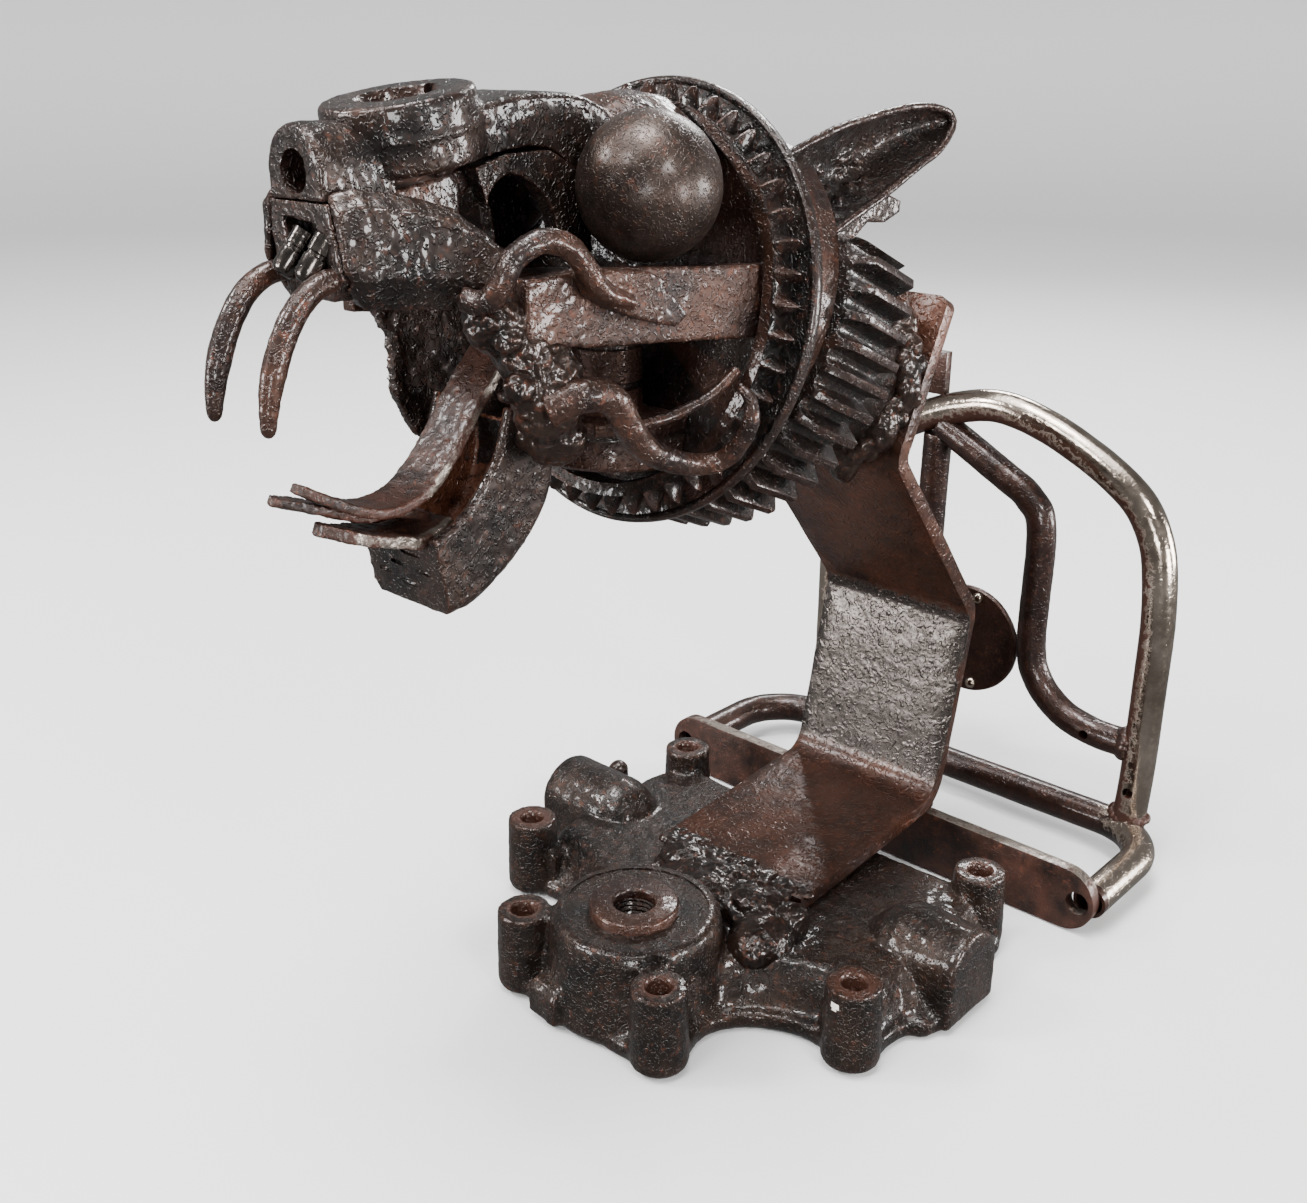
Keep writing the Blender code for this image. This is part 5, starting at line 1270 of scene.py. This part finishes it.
def ear_shell(name, side, draw):
    """The pointed half shell of an ear, with a rolled rim and spatter low in its bowl."""
    lines = [curve([section[k] for section in EAR_SECTIONS], 8) for k in range(3)]
    rings = []
    for up, low, deep in zip(*lines):
        hollow = deep - (up + low) / 2
        away = hollow.normalized()
        inner, outer = [], []
        for k in range(17):
            t = k / 16
            w = 4 * t * (1 - t)
            point = up.lerp(low, t) + hollow * w
            spread = (low - up).normalized() * (t - 0.5) * 1.6
            inner.append(point)
            outer.append(point + (away * (0.7 + 0.8 * w) + spread) * 1.6)
        rings.append(inner + outer[::-1])
    rim = lines[0] + [(lines[0][-1] + lines[1][-1]) / 2 + Vector((0, 1.6, 0))] + lines[1][::-1]
    shapes = [loft(rings), rod([tuple(p) for p in rim], [1.15] * len(rim), 12)]
    for _ in range(30):
        k = draw.randrange(2, 16)
        up, low, deep = (line[k] for line in lines)
        t = draw.uniform(0.35, 0.95)
        point = up.lerp(low, t) + (deep - (up + low) / 2) * (4 * t * (1 - t))
        r = draw.uniform(0.9, 2.0)
        shapes.append(blob(point, (r, r, r)))
    if side < 0:
        shapes = [mirrored(bm) for bm in shapes]
    return melt(name, shapes, 0.68, 2, 0.12, 3.0, 28)


# Sizes and colours

def colour_property(name, description, hex_colour):
    """A colour that a user can change, starting from an sRGB hex value."""
    return bpy.props.FloatVectorProperty(name=name, description=description, subtype="COLOR",
                                         size=3, min=0.0, max=1.0, default=linear(hex_colour))


class WolfSizes(bpy.types.PropertyGroup):
    """Sizes that can be changed before the pieces are built."""
    eye_radius: bpy.props.FloatProperty(
        name="Eye radius", description="Radius of the steel ball eyes", unit="LENGTH",
        default=from_box("eye_ball_L", 2), min=0.005, max=0.03)
    casting_detail: bpy.props.FloatProperty(
        name="Casting detail", description="Grid on which the cast cover is run together",
        unit="LENGTH", default=0.00098, min=0.0005, max=0.003)
    gear_teeth: bpy.props.IntProperty(
        name="Gear teeth", description="Teeth round the neck gear", default=48, min=12, max=90)
    dog_teeth: bpy.props.IntProperty(
        name="Dog teeth", description="Pointed teeth round the collar", default=45, min=12,
        max=90)


class WolfColours(bpy.types.PropertyGroup):
    """Finish colours, as sRGB hex values."""
    iron_dark: colour_property("Cast iron, dark", "Hollows of the cast cover", "#140e0b")
    iron: colour_property("Cast iron", "Open faces of the cast cover", "#2e2018")
    bar_dark: colour_property("Rusted bar, dark", "Dark clouds on the bent bar", "#2b170e")
    bar: colour_property("Rusted bar", "Bent bar and rack strip", "#4a2a1b")
    gear_dark: colour_property("Gear steel, dark", "Dark clouds on the wheels", "#100c0a")
    gear: colour_property("Gear steel", "Gear, collar and cone", "#241914")
    forging_dark: colour_property("Forging, dark", "Dark clouds on the levers", "#150f0d")
    forging: colour_property("Forging", "Levers, jaw and ears", "#31241e")
    steel_dark: colour_property("Brown steel, dark", "Dark clouds on rods", "#211511")
    steel: colour_property("Brown steel", "Rods, plates and fangs", "#412a20")
    tube_dark: colour_property("Rusted tube, dark", "Dark clouds on the tubes", "#20130e")
    tube: colour_property("Rusted tube", "Brown tubes of the rack", "#35211a")
    ball_dark: colour_property("Ball, dark", "Dark clouds on the eyes", "#241b17")
    ball: colour_property("Ball", "Open face of the eyes", "#4b3d36")
    weld_dark: colour_property("Weld, dark", "Hollows of the weld runs", "#130d0a")
    weld: colour_property("Weld", "Tops of the weld runs", "#2e2019")
    rust: colour_property("Rust", "Flecks and edges everywhere", "#6e3d28")


class WolfStage(bpy.types.PropertyGroup):
    """Studio that is not part of the object."""
    floor: colour_property("Floor", "Pale floor and backdrop", "#f4f4f4")
    ceiling_power: bpy.props.FloatProperty(
        name="Ceiling", description="Power of the large softbox overhead", unit="POWER",
        default=130.0, min=0.0)
    softbox_power: bpy.props.FloatProperty(
        name="Softboxes", description="Share of full power of the small softboxes",
        subtype="FACTOR", default=1.0, min=0.0, max=5.0)
    room: bpy.props.FloatProperty(
        name="Room", description="Brightness of the room round the stage", default=0.25,
        min=0.0, max=2.0)


# Operators

class WOLF_OT_finishes(bpy.types.Operator):
    """Make the lacquered metal finishes"""
    bl_idname = "wolf.finishes"
    bl_label = "Finishes"

    def execute(self, context):
        make_finishes(context.scene.wolf_colours)
        return {"FINISHED"}


class WOLF_OT_cover(bpy.types.Operator):
    """Build the cast cover, its washer and the weld on it"""
    bl_idname = "wolf.cover"
    bl_label = "Cast cover"

    def execute(self, context):
        cover = cast_cover(context.scene.wolf_sizes)
        drip_paint(publish(cover, "base_casting", CAST_IRON, 42))
        publish(thread_washer(), "base_washer", WASHER_STEEL)
        publish(base_weld(draws(1)), "base_weld", WELD, 80)
        return {"FINISHED"}


class WOLF_OT_neck(bpy.types.Operator):
    """Build the bent bar and the welds that hold it"""
    bl_idname = "wolf.neck"
    bl_label = "Neck bar"

    def execute(self, context):
        publish(neck_bar(), "neck_strap", RUSTED_BAR)
        for seed, (mark, side, where) in enumerate(SIDES, 2):
            publish(weld_column(f"Neck_weld_{where}", side, draws(seed)), f"neck_weld_{mark}",
                    WELD, 80)
        heel = forged("Heel_weld", "rack_heel_weld", 0.5, 3, 0.35, 2.4, 7)
        publish(heel, "rack_heel_weld", WELD, 80)
        return {"FINISHED"}


class WOLF_OT_rack(bpy.types.Operator):
    """Build the tube rack behind the neck"""
    bl_idname = "wolf.rack"
    bl_label = "Tube rack"

    def execute(self, context):
        publish(rack_strip(), "rack_strip", RUBBED_STRIP)
        publish(ground_loop(), "rack_ground_loop", BROWN_TUBE)
        publish(plated_arch(), "rack_outer_arch", NICKEL)
        near = inner_tube("Inner_tube_near", INNER_NEAR, (77.5, RACK_PLANE, 48.2), draws(4))
        cut(near, [drill((61.6, RACK_PLANE, 48.6))])
        publish(near, "rack_inner_tube_L", BROWN_TUBE, 50)
        far = inner_tube("Inner_tube_far", INNER_FAR, (-60.5, RACK_PLANE, 48.2), draws(5))
        publish(far, "rack_inner_tube_R", BROWN_TUBE, 50)
        publish(round_plate(), "rack_round_plate", BROWN_TUBE)
        publish(plate_rivet("Plate_rivet_top", 91.0), "rack_plate_rivet_1", NICKEL)
        publish(plate_rivet("Plate_rivet_low", 53.0), "rack_plate_rivet_2", NICKEL)
        tab = ease(mesh_object("Top_tab", from_node("rack_top_tab")), 0.5, 3, 32)
        publish(tab, "rack_top_tab", BROWN_TUBE)
        return {"FINISHED"}


class WOLF_OT_wheels(bpy.types.Operator):
    """Build the gear, its cone, the sleeve and the dog-toothed collar"""
    bl_idname = "wolf.wheels"
    bl_label = "Toothed wheels"

    def execute(self, context):
        sizes = context.scene.wolf_sizes
        publish(neck_gear(sizes), "neck_gear", GEAR_STEEL, 30)
        publish(neck_cone(), "neck_cone", GEAR_STEEL)
        publish(neck_sleeve(), "neck_sleeve", BROWN_STEEL)
        publish(dog_collar(sizes), "collar_ring", GEAR_STEEL, 30)
        return {"FINISHED"}


class WOLF_OT_eyes(bpy.types.Operator):
    """Build the two steel ball eyes"""
    bl_idname = "wolf.eyes"
    bl_label = "Eyes"

    def execute(self, context):
        for mark, side, where in SIDES:
            publish(ball_eye(f"Eye_{where}", side, context.scene.wolf_sizes), f"eye_ball_{mark}",
                    BALL_STEEL)
        return {"FINISHED"}


class WOLF_OT_snout(bpy.types.Operator):
    """Build the levers, plates and bolts of the snout"""
    bl_idname = "wolf.snout"
    bl_label = "Snout"

    def execute(self, context):
        publish(snout_arm(), "snout_arm", FORGING, 45)
        publish(nose_bush(), "nose_bush", FORGING, 45)
        publish(nose_bracket(draws(6)), "nose_bracket", FORGING, 60)
        publish(nose_bolt("Nose_bolt_near", 6.8), "nose_bolt_1", BOLT_STEEL)
        publish(nose_bolt("Nose_bolt_far", -1.8), "nose_bolt_2", BOLT_STEEL)
        for mark, side, where in SIDES:
            plate, link = f"snout_plate_{mark}", f"snout_arch_{mark}"
            publish(forged(f"Snout_plate_{where}", plate, 0.6, 2, 0.20, 2.8, 30), plate, FORGING,
                    50)
            publish(forged(f"Snout_link_{where}", link, 0.45, 3, 0.14, 3.0, 17), link, FORGING,
                    50)
        for node in ("snout_bridge", "forehead_cap", "mouth_roof"):
            publish(forged(node.capitalize(), node, 0.85, 3, 0.15, 4.0, 31), node, BROWN_STEEL,
                    60)
        return {"FINISHED"}


class WOLF_OT_cheeks(bpy.types.Operator):
    """Build the cheek plates, bent rods and the parts inside the collar"""
    bl_idname = "wolf.cheeks"
    bl_label = "Cheeks"

    def execute(self, context):
        for mark, side, where in SIDES:
            yoke = f"cheek_yoke_{mark}"
            publish(forged(f"Cheek_plate_{where}", yoke, 0.65, 1, 0.12, 5.0, 33), yoke,
                    BROWN_STEEL, 50)
            publish(hooked_rod(f"Cheek_rod_upper_{where}", side, draws(7)),
                    f"cheek_hook_upper_{mark}", BROWN_STEEL, 60)
        publish(lower_rod(), "cheek_hook_lower_L", BROWN_STEEL, 60)
        publish(cross_bar(), "cheek_bar_L", BROWN_STEEL, 60)
        publish(cheek_weld(draws(9)), "cheek_weld_L", WELD, 80)
        publish(cheek_wall(draws(11)), "cheek_wall_R", FORGING, 50)
        publish(throat_cup(), "throat_cup", TURNED_FORGING)
        publish(throat_post(), "throat_post", TURNED_FORGING)
        return {"FINISHED"}


class WOLF_OT_mouth(bpy.types.Operator):
    """Build the jaw, the tongue, the lip leaves and the fangs"""
    bl_idname = "wolf.mouth"
    bl_label = "Mouth"

    def execute(self, context):
        publish(jaw_channel(), "jaw_channel", FORGING, 50)
        publish(tongue(), "tongue_strap", THIN_STRAP, 60)
        publish(lip_leaf("Lip_leaf_high", 1), "lip_leaf_upper", THIN_STRAP, 60)
        publish(lip_leaf("Lip_leaf_low", 0), "lip_leaf_lower", THIN_STRAP, 60)
        for mark, side, where in SIDES:
            publish(curved_fang(f"Fang_{where}", side), f"fang_{mark}", BROWN_STEEL)
        return {"FINISHED"}


class WOLF_OT_ears(bpy.types.Operator):
    """Build the ears and the cut-off lugs behind them"""
    bl_idname = "wolf.ears"
    bl_label = "Ears"

    def execute(self, context):
        for mark, side, where in SIDES:
            lug = f"ear_lug_{mark}"
            publish(ear_shell(f"Ear_{where}", side, draws(10)), f"ear_{mark}", FORGING, 60)
            publish(forged(f"Ear_lug_{where}", lug, 0.45, 2, 0.15, 3.0, 35), lug, FORGING, 50)
        return {"FINISHED"}


def soft_light(name, place, aim, size, power):
    """A square softbox that looks at a point."""
    data = bpy.data.lights.new(name, "AREA")
    data.shape = "RECTANGLE"
    data.size, data.size_y = size
    data.energy = power
    light = bpy.data.objects.new(name, data)
    light.location = place
    light.rotation_euler = (Vector(aim) - Vector(place)).to_track_quat("-Z", "Y").to_euler()
    bpy.context.scene.collection.objects.link(light)


# The studio in metres: a pale floor that curves up at its rim, and the softboxes
FLOOR_PROFILE = ((0, 0), (2.4, 0), (2.75, 0.03), (3.0, 0.12), (3.2, 0.32), (3.25, 0.7),
                 (3.3, 0.7), (3.3, -0.05), (0, -0.05))
FLOOR_SIDES = 128
CEILING = ((-0.1, -0.5, 3.6), (3.2, 3.2))
HEAD_AT = (0, 0, 0.14)
SOFTBOXES = (("Overhead", (0.0, -0.15, 1.5), (0.5, 0.5), 18.6),
             ("Nose_top", (0.0, -1.0, 1.2), (0.34, 0.26), 8.4),
             ("Key_left_high", (-0.75, -0.7, 0.95), (0.26, 0.26), 9.3),
             ("Key_right_high", (0.95, -0.3, 0.85), (0.22, 0.22), 6.5),
             ("Side_wall", (1.05, 1.0, 0.22), (0.5, 0.4), 18.0),
             ("Side_front", (1.4, 0.15, 0.16), (0.45, 0.3), 12.0),
             ("Bar_front", (-0.9, -1.6, 0.42), (0.7, 0.5), 22.3),
             ("Low_right", (0.9, -1.1, 0.25), (0.3, 0.3), 6.0),
             ("Rim_back", (-0.5, 1.1, 0.9), (0.5, 0.2), 9.3))
# The camera, solved from the photograph's size lines
EYE_POINT = (0.2755, -0.32465, 0.2994)
LENS = 38.56
DOWNWARD = 21.42
TURNED = 42.96


class WOLF_OT_stage(bpy.types.Operator):
    """Set the pale floor, the soft lights and the camera"""
    bl_idname = "wolf.stage"
    bl_label = "Stage"

    def execute(self, context):
        stage = context.scene.wolf_stage
        paper = bpy.data.materials.new("matt_paper_sweep")
        paper.use_nodes = True
        shader = paper.node_tree.nodes["Principled BSDF"]
        shader.inputs["Base Color"].default_value = (*stage.floor, 1.0)
        shader.inputs["Roughness"].default_value = 0.9
        shader.inputs["Specular IOR Level"].default_value = 0.2
        floor = mesh_object("Floor", lathe(FLOOR_PROFILE, FLOOR_SIDES))
        floor.data.shade_smooth()
        floor.data.materials.append(paper)
        # as through a polarising filter: the floor lays no white veil over the lacquer
        floor.visible_glossy = False

        world = bpy.data.worlds.new("Studio")
        world.use_nodes = True
        backdrop = world.node_tree.nodes["Background"]
        backdrop.inputs["Color"].default_value = (*stage.floor, 1.0)
        backdrop.inputs["Strength"].default_value = stage.room
        context.scene.world = world
        place, size = CEILING
        soft_light("Ceiling", place, (0, 0, 0), size, stage.ceiling_power)
        for name, place, size, power in SOFTBOXES:
            soft_light(name, place, HEAD_AT, size, power * stage.softbox_power)

        camera = bpy.data.cameras.new("Camera")
        camera.sensor_width = 36.0
        camera.lens = LENS
        camera.clip_start = 0.02
        view = bpy.data.objects.new("Camera", camera)
        view.location = EYE_POINT
        view.rotation_euler = (radians(90 - DOWNWARD), 0.0, radians(TURNED))
        context.scene.collection.objects.link(view)
        context.scene.camera = view
        return {"FINISHED"}


PIECES = (WOLF_OT_finishes, WOLF_OT_cover, WOLF_OT_neck, WOLF_OT_rack, WOLF_OT_wheels,
          WOLF_OT_eyes, WOLF_OT_snout, WOLF_OT_cheeks, WOLF_OT_mouth, WOLF_OT_ears,
          WOLF_OT_stage)


class WOLF_PT_panel(bpy.types.Panel):
    """Sidebar panel with the sizes, the colours and one button for each group"""
    bl_idname = "WOLF_PT_panel"
    bl_label = "Wolf Head"
    bl_space_type = "VIEW_3D"
    bl_region_type = "UI"
    bl_category = "Wolf Head"

    def draw(self, context):
        scene = context.scene
        for group in (scene.wolf_sizes, scene.wolf_colours, scene.wolf_stage):
            box = self.layout.box()
            for key in group.__annotations__:
                box.prop(group, key)
        for piece in PIECES:
            self.layout.operator(piece.bl_idname)


CLASSES = (WolfSizes, WolfColours, WolfStage, *PIECES, WOLF_PT_panel)


def register():
    """Add the classes and the scene's own settings."""
    for cls in CLASSES:
        bpy.utils.register_class(cls)
    bpy.types.Scene.wolf_sizes = bpy.props.PointerProperty(type=WolfSizes)
    bpy.types.Scene.wolf_colours = bpy.props.PointerProperty(type=WolfColours)
    bpy.types.Scene.wolf_stage = bpy.props.PointerProperty(type=WolfStage)


def unregister():
    """Take the settings and classes away again."""
    del bpy.types.Scene.wolf_stage, bpy.types.Scene.wolf_colours, bpy.types.Scene.wolf_sizes
    for cls in reversed(CLASSES):
        bpy.utils.unregister_class(cls)


def main():
    """Register the add-on and build everything in order."""
    register()
    for piece in PIECES:
        group, action = piece.bl_idname.split(".")
        getattr(getattr(bpy.ops, group), action)()


if __name__ == "__main__":
    main()
